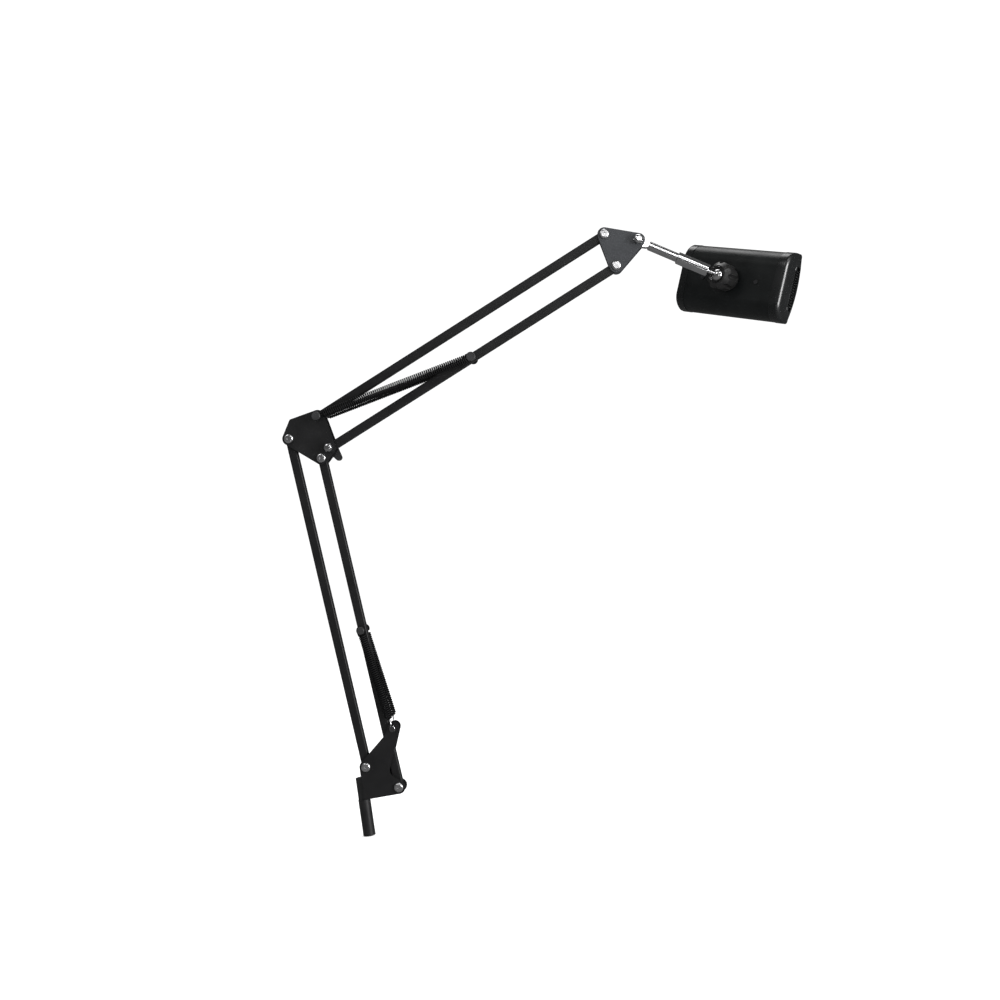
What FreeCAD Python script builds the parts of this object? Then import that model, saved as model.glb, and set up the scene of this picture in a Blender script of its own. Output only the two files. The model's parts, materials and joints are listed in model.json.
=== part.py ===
"""Spring-balanced arm lamp with a ball-jointed head, in millimetres.

Frame: the origin is the centre of the post's lower end, +Z runs up the post, +X is the way the lamp
reaches, and every arm pivot runs along Y. "Right" pieces are on the -Y side, "left" ones on the +Y side.
"""
import FreeCAD
import Part
import Sketcher
import math
import os

Vector = FreeCAD.Vector
document = FreeCAD.newDocument("arm_lamp")

# ---------------------------------------------------------------- driving dimensions
DRIVING = {
    # post and base plates
    "post_radius": 6.0,
    "post_length": 56.4,
    "small_chamfer": 0.6,
    "tongue_length": 21.2,
    "tongue_round": 0.8,
    "rivet_radius": 1.2,
    "rivet_in": 2.7,
    "rivet_spacing": 9.0,
    "plate_thickness": 1.5,
    "base_edge_in": 1.0,
    "base_corner": 1.5,
    "base_bottom": 35.5,
    "base_back_x": 7.45,
    "base_back_z": 66.9,
    "base_front_x": 36.65,
    "base_front_z": 43.3,
    "base_lobe": 6.4,
    "horn_x": 39.6,
    "horn_z": 101.2,
    "horn_radius": 5.6,
    "horn_notch": 4.0,
    "waist_x": 36.6,
    "waist_z": 60.0,
    "waist_radius": 6.5,
    # bars and their bushes
    "bar_width": 8.4,
    "bar_wall": 0.8,
    "bar_corner": 1.0,
    "bar_overhang": 4.4,
    "lower_arm": 330.0,
    "upper_arm": 330.0,
    "lower_lean": 5.04,
    "upper_rise": 23.5,
    "bush_flange": 0.5,
    "bush_flange_radius": 4.0,
    "bush_wall": 0.75,
    "bush_length": 2.6,
    "bush_clearance": 0.1,
    "run_clearance": 0.05,
    # bolts and nuts
    "shank_radius": 2.5,
    "bolt_head_radius": 4.7,
    "bolt_head_height": 2.7,
    "socket_radius": 1.7,
    "socket_depth": 1.5,
    "nut_radius": 4.6,
    "nut_height": 4.6,
    "dome_radius": 4.4,
    "dome_height": 3.2,
    # elbow, measured from the lower arm's back pivot
    "elbow_lobe": 6.6,
    "elbow_corner_x": 5.0,
    "elbow_corner_z": 16.3,
    "elbow_corner": 2.5,
    "elbow_top_x": 31.3,
    "elbow_top_z": 17.2,
    "elbow_bottom_x": 38.3,
    "elbow_bottom_z": -14.65,
    "lever_radius": 5.6,
    "lever_tip": 3.2,
    "lever_reach": 11.4,
    "lever_angle": -62.0,
    "lever_thickness": 4.0,
    "lever_hub": 6.0,
    # yoke, measured from the upper arm's top pivot
    "yoke_lobe": 6.6,
    "tilt_x": 31.4,
    "tilt_z": -10.8,
    # spring pins, bobbins and springs
    "pin_reach": 14.0,
    "lower_pin_at": 157.0,
    "upper_pin_at": 165.0,
    "lower_cap_radius": 3.8,
    "elbow_cap_radius": 4.3,
    "upper_cap_radius": 4.6,
    "bobbin_waist": 3.1,
    "bobbin_cap": 1.8,
    "bobbin_skin": 0.6,
    "bobbin_groove": 1.7,
    "coil_radius": 3.4,
    "wire_radius": 0.55,
    "coil_pitch": 2.05,
    "coil_start": 8.0,
    "lower_tail": 10.0,
    "upper_tail": 10.0,
    "end_turns": 2.4,
    "stud_radius": 1.6,
    "stud_head": 2.6,
    "stud_head_height": 1.0,
    # stem, stud and ball
    "stem_angle": -32.3,
    "eye_radius": 5.4,
    "eye_neck": 3.4,
    "eye_length": 8.0,
    "side_clearance": 0.4,
    "tube_radius": 4.4,
    "tube_bore": 3.5,
    "tube_end": 52.0,
    "sleeve_start": 41.0,
    "sleeve_end": 73.4,
    "sleeve_radius": 5.9,
    "neck_radius": 1.7,
    "ball_radius": 6.3,
    "ball_distance": 84.2,
    # ball seat, collar and socket
    "seat_wall": 1.6,
    "seat_lip": 1.6,
    "seat_depth": 7.6,
    "collar_wall": 5.1,
    "collar_top": 3.5,
    "mouth_clearance": 0.4,
    "collar_bottom": 14.4,
    "collar_chamfer": 1.5,
    "collar_shoulder": 4.0,
    "notch_radius": 2.4,
    "notches": 8.0,
    "flange_radius": 10.6,
    "flange_height": 2.6,
    "column_wall": 3.0,
    # head
    "head_offset": 18.4,
    "head_yaw": -41.3,
    "head_pitch": 18.5,
    "head_roll": 79.5,
    "head_length": 122.0,
    "back_half": 17.3,
    "shoulder": 16.0,
    "foot_z": 20.5,
    "foot_radius": 2.5,
    "head_wall": 1.8,
    "lip_width": 3.6,
    "lens_sag": 4.6,
    "lens_thickness": 2.0,
    "cap_length": 11.0,
    "cap_wall": 3.0,
    "cap_proud": 0.3,
    "cap_round": 1.5,
    "spigot_length": 3.0,
    "spigot_wall": 1.2,
    "slot_length": 43.0,
    "slot_width": 8.0,
    "slot_z": 20.4,
    "rib_pitch": 2.4,
    "rib_thickness": 1.0,
    "rib_recess": 1.4,
    "rib_share": 0.48,
    "spreader_thickness": 1.5,
    "board_thickness": 1.2,
    "board_gap": 2.2,
    "led_size": 3.0,
    "led_height": 0.8,
    "led_spacing": 11.0,
    "driver_length": 46.0,
    "driver_width": 26.0,
    "screw_x": 31.0,
    "screw_radius": 1.5,
    "screw_head": 2.2,
    "button_radius": 2.6,
    "button_travel": 1.0,
    "button_y": 10.0,
    "button_z": -6.0,
    "inlet_radius": 2.8,
    "inlet_length": 9.0,
}

sheet = document.addObject("Spreadsheet::Sheet", "Sizes")
for row, (alias, number) in enumerate(DRIVING.items(), start=1):
    sheet.set(f"A{row}", alias)
    sheet.set(f"B{row}", str(number))
    sheet.setAlias(f"B{row}", alias)
document.recompute()


# ---------------------------------------------------------------- sizes that carry their formula
class Size:
    """A number together with the spreadsheet formula that gives it."""

    def __init__(self, value, formula):
        self.value = float(value)
        self.formula = formula

    def __add__(self, other):
        other = as_size(other)
        return Size(self.value + other.value, f"({self.formula} + {other.formula})")

    def __sub__(self, other):
        other = as_size(other)
        return Size(self.value - other.value, f"({self.formula} - {other.formula})")

    def __mul__(self, other):
        other = as_size(other)
        return Size(self.value * other.value, f"({self.formula} * {other.formula})")

    def __truediv__(self, other):
        other = as_size(other)
        return Size(self.value / other.value, f"({self.formula} / {other.formula})")

    def __neg__(self):
        return Size(-self.value, f"(0 - {self.formula})")

    __radd__ = __add__
    __rmul__ = __mul__

    def __rsub__(self, other):
        return as_size(other) - self


def as_size(number):
    return number if isinstance(number, Size) else Size(number, f"({float(number)!r})")


def size(alias):
    return Size(getattr(sheet, alias), f"Sizes.{alias}")


def cosine(angle):
    return Size(math.cos(math.radians(angle.value)), f"cos({angle.formula})")


def sine(angle):
    return Size(math.sin(math.radians(angle.value)), f"sin({angle.formula})")


# ---------------------------------------------------------------- sketches and features
def new_body(label):
    body = document.addObject("PartDesign::Body", label)
    body.Label = label
    body.AllowCompound = True
    return body


def new_sketch(body, role, height=0.0):
    """An empty sketch on one of the body's own origin planes, lifted along that plane's normal."""
    height = as_size(height)
    sketch = body.newObject("Sketcher::SketchObject", body.Label + "_sketch")
    plane = next(feature for feature in body.Origin.OriginFeatures if feature.Role == role)
    sketch.AttachmentSupport = [(plane, "")]
    sketch.MapMode = "FlatFace"
    sketch.AttachmentOffset = FreeCAD.Placement(Vector(0, 0, height.value), FreeCAD.Rotation())
    if height.value:
        sketch.setExpression("AttachmentOffset.Base.z", height.formula)
    return sketch


def bind(sketch, kind, arguments, length):
    """Adds one dimension to a sketch and ties it to the sheet."""
    length = as_size(length)
    index = sketch.addConstraint(Sketcher.Constraint(kind, *arguments, length.value))
    sketch.setExpression(f"Constraints[{index}]", length.formula)


def fix_point(sketch, edge, vertex, x, y):
    bind(sketch, "DistanceX", (-1, 1, edge, vertex), x)
    bind(sketch, "DistanceY", (-1, 1, edge, vertex), y)


def draw_circle(sketch, x, y, radius):
    x, y, radius = as_size(x), as_size(y), as_size(radius)
    circle = Part.Circle(Vector(x.value, y.value, 0), Vector(0, 0, 1), radius.value)
    edge = sketch.addGeometry(circle, False)
    fix_point(sketch, edge, 3, x, y)
    bind(sketch, "Radius", (edge,), radius)


def draw_polygon(sketch, points):
    points = [(as_size(x), as_size(y)) for x, y in points]
    ends = [Vector(x.value, y.value, 0) for x, y in points]
    edges = []
    for start, end in zip(ends, ends[1:] + ends[:1]):
        edges.append(sketch.addGeometry(Part.LineSegment(start, end), False))
    for edge, following in zip(edges, edges[1:] + edges[:1]):
        sketch.addConstraint(Sketcher.Constraint("Coincident", edge, 2, following, 1))
    for edge, (x, y) in zip(edges, points):
        fix_point(sketch, edge, 1, x, y)


def draw_rectangle(sketch, low_x, low_y, high_x, high_y):
    draw_polygon(sketch, [(low_x, low_y), (high_x, low_y), (high_x, high_y), (low_x, high_y)])


def draw_belt(sketch, wheels):
    """A closed outline of tangent lines round wheels (x, y, radius, turn), listed anticlockwise.

    turn is 1 where the outline bulges round the wheel and -1 where it is hollowed by it.
    """
    wheels = [(as_size(x), as_size(y), as_size(radius), turn) for x, y, radius, turn in wheels]
    count = len(wheels)
    touches = []
    for index in range(count):
        x, y, radius, turn = wheels[index]
        next_x, next_y, next_radius, next_turn = wheels[(index + 1) % count]
        along = Vector(next_x.value - x.value, next_y.value - y.value, 0)
        difference = turn * radius.value - next_turn * next_radius.value
        lean = math.acos(difference / along.Length)
        heading = math.atan2(along.y, along.x) - lean
        outward = Vector(math.cos(heading), math.sin(heading), 0)
        leave = Vector(x.value, y.value, 0) + outward * (turn * radius.value)
        arrive = Vector(next_x.value, next_y.value, 0) + outward * (next_turn * next_radius.value)
        touches.append((leave, arrive))
    lines = [sketch.addGeometry(Part.LineSegment(leave, arrive), False) for leave, arrive in touches]
    for index, (x, y, radius, turn) in enumerate(wheels):
        centre = Vector(x.value, y.value, 0)
        first = touches[index - 1][1] - centre
        last = touches[index][0] - centre
        if turn < 0:
            first, last = last, first
        circle = Part.Circle(centre, Vector(0, 0, 1), radius.value)
        start = math.atan2(first.y, first.x)
        end = math.atan2(last.y, last.x)
        arc = sketch.addGeometry(Part.ArcOfCircle(circle, start, end), False)
        entry, exit_ = (1, 2) if turn > 0 else (2, 1)
        sketch.addConstraint(Sketcher.Constraint("Tangent", lines[index - 1], 2, arc, entry))
        sketch.addConstraint(Sketcher.Constraint("Tangent", arc, exit_, lines[index], 1))
        fix_point(sketch, arc, 3, x, y)
        bind(sketch, "Radius", (arc,), radius)


def pad(body, sketch, length):
    """Pads a sketch along its own normal."""
    length = as_size(length)
    feature = body.newObject("PartDesign::Pad", body.Label + "_pad")
    feature.Profile = sketch
    feature.Length = length.value
    feature.setExpression("Length", length.formula)
    document.recompute()
    return feature


def cut(body, sketch, length, reverse=False):
    """Cuts a sketch against its normal, or along it, and makes sure that something was cut."""
    length = as_size(length)
    before = body.Tip.Shape.Volume
    feature = body.newObject("PartDesign::Pocket", body.Label + "_pocket")
    feature.Profile = sketch
    feature.Length = length.value
    feature.setExpression("Length", length.formula)
    feature.Reversed = reverse
    document.recompute()
    if feature.Shape.Volume >= before:
        raise ValueError(f"a pocket in {body.Label} cuts nothing")
    return feature


def turn_solid(body, points):
    """Turns a profile of (radius, height) points about the body's Z axis."""
    sketch = new_sketch(body, "XZ_Plane")
    draw_polygon(sketch, points)
    feature = body.newObject("PartDesign::Revolution", body.Label + "_turn")
    feature.Profile = sketch
    feature.ReferenceAxis = (sketch, ["V_Axis"])
    feature.Angle = 360.0
    document.recompute()
    return feature


def soften(body, radius, wanted):
    """Rounds the edges of the body's last feature that wanted(edge) picks."""
    radius = as_size(radius)
    base = body.Tip
    names = [f"Edge{number}" for number, edge in enumerate(base.Shape.Edges, start=1) if wanted(edge)]
    feature = body.newObject("PartDesign::Fillet", body.Label + "_fillet")
    feature.Base = (base, names)
    feature.Radius = radius.value
    feature.setExpression("Radius", radius.formula)
    document.recompute()
    return feature


def discs(body, centres, radius, low_y, high_y, bore=None):
    """Round pads along Y at each centre (x, z), from low_y to high_y, with a bore if there is one."""
    low_y, high_y = as_size(low_y), as_size(high_y)
    sketch = new_sketch(body, "XZ_Plane", -high_y)
    for x, z in centres:
        draw_circle(sketch, x, z, radius)
        if bore is not None:
            draw_circle(sketch, x, z, bore)
    return pad(body, sketch, high_y - low_y)


def hexagons(body, centres, radius, low_y, high_y, bore):
    """Hexagonal pads along Y with a round bore."""
    low_y, high_y = as_size(low_y), as_size(high_y)
    sketch = new_sketch(body, "XZ_Plane", -high_y)
    for x, z in centres:
        corners = []
        for corner in range(6):
            angle = Size(60.0 * corner, f"({60.0 * corner})")
            corners.append((x + radius * cosine(angle), z + radius * sine(angle)))
        draw_polygon(sketch, corners)
        draw_circle(sketch, x, z, bore)
    return pad(body, sketch, high_y - low_y)


def put(item, x, y, z, rotation=None):
    place = FreeCAD.Placement(Vector(x, y, z), rotation or FreeCAD.Rotation())
    item.Placement = place
    return item


# ---------------------------------------------------------------- places at rest
plate = size("plate_thickness")
bar_half = size("bar_width") / 2
gap_half = bar_half + size("bush_flange") + size("bush_clearance")
outer_half = gap_half + plate
bore_radius = size("shank_radius") + size("run_clearance")

back_pivot = (size("base_back_x"), size("base_back_z"))
front_pivot = (size("base_front_x"), size("base_front_z"))
link = (front_pivot[0] - back_pivot[0], front_pivot[1] - back_pivot[1])
elbow_top = (size("elbow_top_x"), size("elbow_top_z"))
elbow_bottom = (size("elbow_bottom_x"), size("elbow_bottom_z"))
yoke_link = (elbow_bottom[0] - elbow_top[0], elbow_bottom[1] - elbow_top[1])
tilt = (size("tilt_x"), size("tilt_z"))
zero = as_size(0.0)


def reach(origin, length, angle):
    """The point at a length and an angle above +X from an origin, both in the arm's plane."""
    turn = math.radians(angle)
    return (origin[0] + length * math.cos(turn), origin[1] + length * math.sin(turn))


def offset(origin, step):
    return (origin[0] + step[0].value, origin[1] + step[1].value)


lower_angle = 90.0 + sheet.lower_lean
upper_angle = sheet.upper_rise
base_back = (sheet.base_back_x, sheet.base_back_z)
base_front = (sheet.base_front_x, sheet.base_front_z)
elbow_at = reach(base_back, sheet.lower_arm, lower_angle)
elbow_top_at = offset(elbow_at, elbow_top)
elbow_bottom_at = offset(elbow_at, elbow_bottom)
yoke_at = reach(elbow_top_at, sheet.upper_arm, upper_angle)
tilt_at = offset(yoke_at, tilt)
ball_at = reach(tilt_at, sheet.ball_distance, sheet.stem_angle)
lower_pin_place = reach(base_front, sheet.lower_pin_at, lower_angle)
upper_pin_place = reach(elbow_bottom_at, sheet.upper_pin_at, upper_angle)
horn_at = (sheet.horn_x, sheet.horn_z)


def upward(angle):
    """The rotation that lifts local +X to an angle above +X in the arm's plane."""
    return FreeCAD.Rotation(Vector(0, 1, 0), -angle)


parts = []


def finish(item, x=0.0, y=0.0, z=0.0, rotation=None):
    """Sets a finished piece in its place and keeps it for the export."""
    put(item, x, y, z, rotation)
    parts.append(item)
    return item


# ---------------------------------------------------------------- post and base plates
def make_post():
    """A steel pin whose top is turned down a little and milled into a tongue between the base plates."""
    body = new_body("post")
    radius, length, tongue = size("post_radius"), size("post_length"), size("tongue_length")
    shoulder, neck = length - tongue, gap_half + size("tongue_round")
    profile = [(0, 0), (radius, 0), (radius, shoulder), (neck, shoulder), (neck, length), (0, length)]
    turn_solid(body, profile)
    for side in (-1, 1):
        sketch = new_sketch(body, "XY_Plane", length)
        far = side * (neck + 1)
        near = side * gap_half
        draw_rectangle(sketch, -neck - 1, near, neck + 1, far)
        cut(body, sketch, tongue)
    holes = new_sketch(body, "XZ_Plane", -neck)
    for x, z in rivet_places():
        draw_circle(holes, x, z, size("rivet_radius"))
    cut(body, holes, neck * 2, reverse=True)
    return finish(body)


def rivet_places():
    x = size("base_edge_in") + size("rivet_in")
    low = size("base_bottom") + size("post_radius")
    return [(x, low), (x, low + size("rivet_spacing"))]


def base_outline():
    """The base plate: foot beside the post, front pivot, hollow waist, horn, notch and back pivot."""
    corner = size("base_corner")
    foot = (size("base_edge_in") + corner, size("base_bottom") + corner, corner, 1)
    heel = (front_pivot[0] - size("base_lobe") + corner, foot[1], corner, 1)
    front = (*front_pivot, size("base_lobe"), 1)
    waist = (size("waist_x"), size("waist_z"), size("waist_radius"), -1)
    horn = (size("horn_x"), size("horn_z"), size("horn_radius"), 1)
    reach_back = size("horn_radius") + size("horn_notch") * 1.65
    notch = (size("horn_x") - reach_back, size("horn_z") - size("horn_notch") * 0.8, size("horn_notch"), -1)
    back = (*back_pivot, size("base_lobe"), 1)
    return [foot, front, waist, horn, notch, back]


def make_plate(label, outline, holes, side, place):
    """A flat stamped plate with round holes; side is -1 for the right one and 1 for the left one."""
    body = new_body(label)
    high = -gap_half if side < 0 else outer_half
    sketch = new_sketch(body, "XZ_Plane", -high)
    draw_belt(sketch, outline)
    for x, z, radius in holes:
        draw_circle(sketch, x, z, radius)
    pad(body, sketch, plate)
    return finish(body, place[0], 0.0, place[1])


def make_bolts(label, centres, place):
    """Button-head bolts from the right side, long enough for a lock nut on the left side."""
    body = new_body(label)
    head_height = size("bolt_head_height")
    nut_end = outer_half + size("nut_height")
    discs(body, centres, size("shank_radius"), -outer_half, nut_end)
    discs(body, centres, size("bolt_head_radius"), -outer_half - head_height, -outer_half)
    crown = -(outer_half + head_height)
    soften(body, head_height * 0.7, lambda edge: on_plane(edge, crown.value))
    sockets = new_sketch(body, "XZ_Plane", -crown)
    for x, z in centres:
        corners = []
        for corner in range(6):
            angle = Size(60.0 * corner + 15.0, f"({60.0 * corner + 15.0})")
            reach_x = size("socket_radius") * cosine(angle)
            reach_z = size("socket_radius") * sine(angle)
            corners.append((x + reach_x, z + reach_z))
        draw_polygon(sockets, corners)
    cut(body, sockets, size("socket_depth"))
    return finish(body, place[0], 0.0, place[1])


def on_plane(edge, y):
    box = edge.BoundBox
    return abs(box.YMin - y) < 1e-4 and abs(box.YMax - y) < 1e-4


def make_nuts(label, centres, place):
    """Lock nuts with a plain collar, on the left side."""
    body = new_body(label)
    nut_top = outer_half + size("nut_height") * 0.72
    hexagons(body, centres, size("nut_radius"), outer_half, nut_top, size("shank_radius"))
    collar = size("nut_radius") * 0.8
    discs(body, centres, collar, nut_top, outer_half + size("nut_height"), size("shank_radius"))
    return finish(body, place[0], 0.0, place[1])


def make_rivets():
    body = new_body("post_rivets")
    discs(body, rivet_places(), size("rivet_radius"), -outer_half, outer_half)
    return finish(body)


def make_horn_studs():
    """Headed studs, riveted flush inside, that stand out of the horns and hold the spring hooks."""
    body = new_body("base_spring_studs")
    centre = [(size("horn_x"), size("horn_z"))]
    tip = size("pin_reach") - size("stud_head_height")
    for side in (-1, 1):
        ends = sorted((side * gap_half, side * tip), key=lambda end: end.value)
        discs(body, centre, size("stud_radius"), *ends)
        caps = sorted((side * tip, side * size("pin_reach")), key=lambda end: end.value)
        discs(body, centre, size("stud_head"), *caps)
    return finish(body)


# ---------------------------------------------------------------- bars
def make_bar(label, length, origin, angle, pin_at=None):
    """A square steel tube with a round hole through both side walls at each pivot."""
    body = new_body(label)
    overhang, wall = size("bar_overhang"), size("bar_wall")
    section = new_sketch(body, "YZ_Plane", -overhang)
    inner = bar_half - wall
    corner = size("bar_corner")
    edge = bar_half - corner
    draw_belt(section, [(x * edge, y * edge, corner, 1) for x, y in ((-1, -1), (1, -1), (1, 1), (-1, 1))])
    draw_rectangle(section, -inner, -inner, inner, inner)
    pad(body, section, length + overhang * 2)
    holes = new_sketch(body, "XZ_Plane", -bar_half)
    bush_hole = bore_radius + size("bush_wall")
    for x in (zero, length):
        draw_circle(holes, x, 0, bush_hole)
    if pin_at is not None:
        draw_circle(holes, pin_at, 0, size("shank_radius"))
    cut(body, holes, bar_half * 2, reverse=True)
    return finish(body, origin[0], 0.0, origin[1], upward(angle))


def make_bushes(label, length, origin, angle):
    """Flanged nylon bushes pressed into the bar's holes from outside."""
    body = new_body(label)
    centres = [(zero, zero), (length, zero)]
    barrel = bore_radius + size("bush_wall")
    inner_end = bar_half - size("bush_length")
    face = bar_half + size("bush_flange")
    for side in (-1, 1):
        barrel_ends = sorted((side * inner_end, side * bar_half), key=lambda end: end.value)
        discs(body, centres, barrel, *barrel_ends, bore_radius)
        flange_ends = sorted((side * bar_half, side * face), key=lambda end: end.value)
        discs(body, centres, size("bush_flange_radius"), *flange_ends, bore_radius)
    return finish(body, origin[0], 0.0, origin[1], upward(angle))


# ---------------------------------------------------------------- spring pins
def make_spring_pin(label, place):
    """A plain round rod across the bars that carries a bobbin on each end."""
    body = new_body(label)
    discs(body, [(zero, zero)], size("shank_radius"), -size("pin_reach"), size("pin_reach"))
    return finish(body, place[0], 0.0, place[1])


def make_bobbins(label, place, start, cap_radius):
    """Moulded bobbins: a waist from the bar or plate out, a groove for the spring's eye, and a cap."""
    body = new_body(label)
    centre = [(zero, zero)]
    bore = size("shank_radius")
    end = size("pin_reach")
    face = end + size("bobbin_skin")
    cap_low = end - size("bobbin_cap")
    for side in (-1, 1):
        waist = sorted((side * start, side * cap_low), key=lambda edge: edge.value)
        discs(body, centre, size("bobbin_waist"), *waist, bore)
        cap = sorted((side * cap_low, side * face), key=lambda edge: edge.value)
        discs(body, centre, cap_radius, *cap)
        soften(body, size("bobbin_cap") * 0.45, lambda edge, level=side * face.value: on_plane(edge, level))
    hollow = new_sketch(body, "XZ_Plane", -end)
    draw_circle(hollow, 0, 0, bore)
    cut(body, hollow, end * 2, reverse=True)
    return finish(body, place[0], 0.0, place[1])


# ---------------------------------------------------------------- elbow
def elbow_outline():
    lobe = size("elbow_lobe")
    corner = (size("elbow_corner_x"), size("elbow_corner_z"), size("elbow_corner"), 1)
    return [
        (zero, zero, lobe, 1),
        (*link, lobe, 1),
        (*elbow_bottom, lobe, 1),
        (*elbow_top, lobe, 1),
        corner,
    ]


def make_lock_bolt():
    """The elbow's clamping bolt: threaded at both ends, dome nut in front and lever behind."""
    body = new_body("elbow_lock_bolt")
    front = outer_half + size("nut_height")
    rear = outer_half + size("side_clearance") + size("lever_hub")
    discs(body, [(zero, zero)], size("shank_radius"), -front, rear)
    return finish(body, elbow_bottom_at[0], 0.0, elbow_bottom_at[1])


def make_dome_nut(label, place):
    """A hexagonal nut with a domed cap over the bolt's end, on the right side."""
    body = new_body(label)
    base = -outer_half
    middle = base - size("nut_height")
    top = middle - size("dome_height")
    bore = size("shank_radius")
    hexagons(body, [(zero, zero)], size("nut_radius"), middle, base, bore)
    discs(body, [(zero, zero)], size("dome_radius"), top, middle)
    crown = top.value
    soften(body, size("dome_height") * 0.92, lambda edge: on_plane(edge, crown))
    return finish(body, place[0], 0.0, place[1])


def make_lever():
    """The elbow's locking lever: a hub on the lock bolt and a flat wing."""
    body = new_body("elbow_lever")
    reach_out, angle = size("lever_reach"), size("lever_angle")
    tip = (reach_out * cosine(angle), reach_out * sine(angle), size("lever_tip"), 1)
    low = outer_half + size("side_clearance")
    bore = bore_radius
    wing = new_sketch(body, "XZ_Plane", -(low + size("lever_thickness")))
    draw_belt(wing, [(zero, zero, size("lever_radius"), 1), tip])
    draw_circle(wing, 0, 0, bore)
    pad(body, wing, size("lever_thickness"))
    discs(body, [(zero, zero)], size("lever_radius") * 0.8, low, low + size("lever_hub"), bore)
    return finish(body, elbow_bottom_at[0], 0.0, elbow_bottom_at[1])


# ---------------------------------------------------------------- yoke
def yoke_outline():
    lobe = size("yoke_lobe")
    return [(zero, zero, lobe, 1), (*yoke_link, lobe, 1), (*tilt, lobe, 1)]


def make_tilt_bolt():
    """The bolt that the stem tilts on: button head behind, dome nut in front."""
    body = new_body("tilt_bolt")
    front = outer_half + size("nut_height")
    head = outer_half + size("bolt_head_height")
    discs(body, [(zero, zero)], size("shank_radius"), -front, outer_half)
    discs(body, [(zero, zero)], size("bolt_head_radius"), outer_half, head)
    soften(body, size("bolt_head_height") * 0.7, lambda edge: on_plane(edge, head.value))
    return finish(body, tilt_at[0], 0.0, tilt_at[1])


# ---------------------------------------------------------------- stem and ball
def make_stem_eye():
    """A flat-sided eye on the tilt bolt, with a round spigot for the stem tube."""
    body = new_body("stem_eye")
    half = gap_half - size("side_clearance")
    sketch = new_sketch(body, "XZ_Plane", -half)
    neck = (size("eye_length"), zero, size("eye_neck"), 1)
    draw_belt(sketch, [(zero, zero, size("eye_radius"), 1), neck])
    draw_circle(sketch, 0, 0, bore_radius)
    pad(body, sketch, half * 2)
    spigot = new_sketch(body, "YZ_Plane", size("eye_length"))
    draw_circle(spigot, 0, 0, size("tube_bore"))
    pad(body, spigot, size("eye_length") + size("eye_neck"))
    return finish(body, tilt_at[0], 0.0, tilt_at[1], upward(sheet.stem_angle))


def make_stem_tube():
    """The chrome tube from the eye into the sleeve."""
    body = new_body("stem_tube")
    start = size("eye_length") + size("eye_neck")
    section = new_sketch(body, "YZ_Plane", start)
    draw_circle(section, 0, 0, size("tube_radius"))
    draw_circle(section, 0, 0, size("tube_bore"))
    pad(body, section, size("tube_end") - start)
    return finish(body, tilt_at[0], 0.0, tilt_at[1], upward(sheet.stem_angle))


def make_stem_sleeve():
    """The thicker chrome sleeve, which turns on the tube and holds the ball stud in its blind end."""
    body = new_body("stem_sleeve")
    start, end = size("sleeve_start"), size("sleeve_end")
    outer, bore = size("sleeve_radius"), size("tube_radius") + size("run_clearance")
    blind = size("tube_end") + size("side_clearance")
    neck, edge = size("neck_radius"), size("small_chamfer")
    profile = [
        (bore, start),
        (outer - edge, start),
        (outer, start + edge),
        (outer, end - edge),
        (outer - edge, end),
        (neck, end),
        (neck, blind),
        (bore, blind),
    ]
    turn_solid(body, profile)
    along_stem = upward(sheet.stem_angle).multiply(FreeCAD.Rotation(Vector(0, 1, 0), 90))
    return finish(body, tilt_at[0], 0.0, tilt_at[1], along_stem)


def make_ball_stud():
    """A chrome ball on a thin neck, turned in one piece and pressed into the sleeve."""
    body = new_body("ball_stud")
    neck, ball, distance = size("neck_radius"), size("ball_radius"), size("ball_distance")
    start = size("tube_end") + size("side_clearance")
    sketch = new_sketch(body, "XZ_Plane")
    draw_rectangle(sketch, 0, start, neck, distance)
    rod = body.newObject("PartDesign::Revolution", "ball_stud_rod")
    rod.Profile = sketch
    rod.ReferenceAxis = (sketch, ["V_Axis"])
    document.recompute()
    sphere = body.newObject("PartDesign::AdditiveSphere", "ball_stud_ball")
    sphere.Radius = ball.value
    sphere.setExpression("Radius", ball.formula)
    plane = next(feature for feature in body.Origin.OriginFeatures if feature.Role == "XY_Plane")
    sphere.AttachmentSupport = [(plane, "")]
    sphere.MapMode = "FlatFace"
    sphere.AttachmentOffset = FreeCAD.Placement(Vector(0, 0, distance.value), FreeCAD.Rotation())
    sphere.setExpression("AttachmentOffset.Base.z", distance.formula)
    document.recompute()
    along_stem = upward(sheet.stem_angle).multiply(FreeCAD.Rotation(Vector(0, 1, 0), 90))
    return finish(body, tilt_at[0], 0.0, tilt_at[1], along_stem)


# The head's frame: origin in the middle of its flat back, X along it, Y up, Z out of the back.
head_turn = FreeCAD.Rotation(sheet.head_yaw, sheet.head_pitch, sheet.head_roll)
ball_point = Vector(ball_at[0], 0.0, ball_at[1])
head_point = ball_point - head_turn.multVec(Vector(0, 0, sheet.head_offset))


def finish_on_head(item):
    return finish(item, head_point.x, head_point.y, head_point.z, head_turn)


def seat_outer():
    return size("ball_radius") + size("run_clearance") + size("seat_wall")


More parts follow.
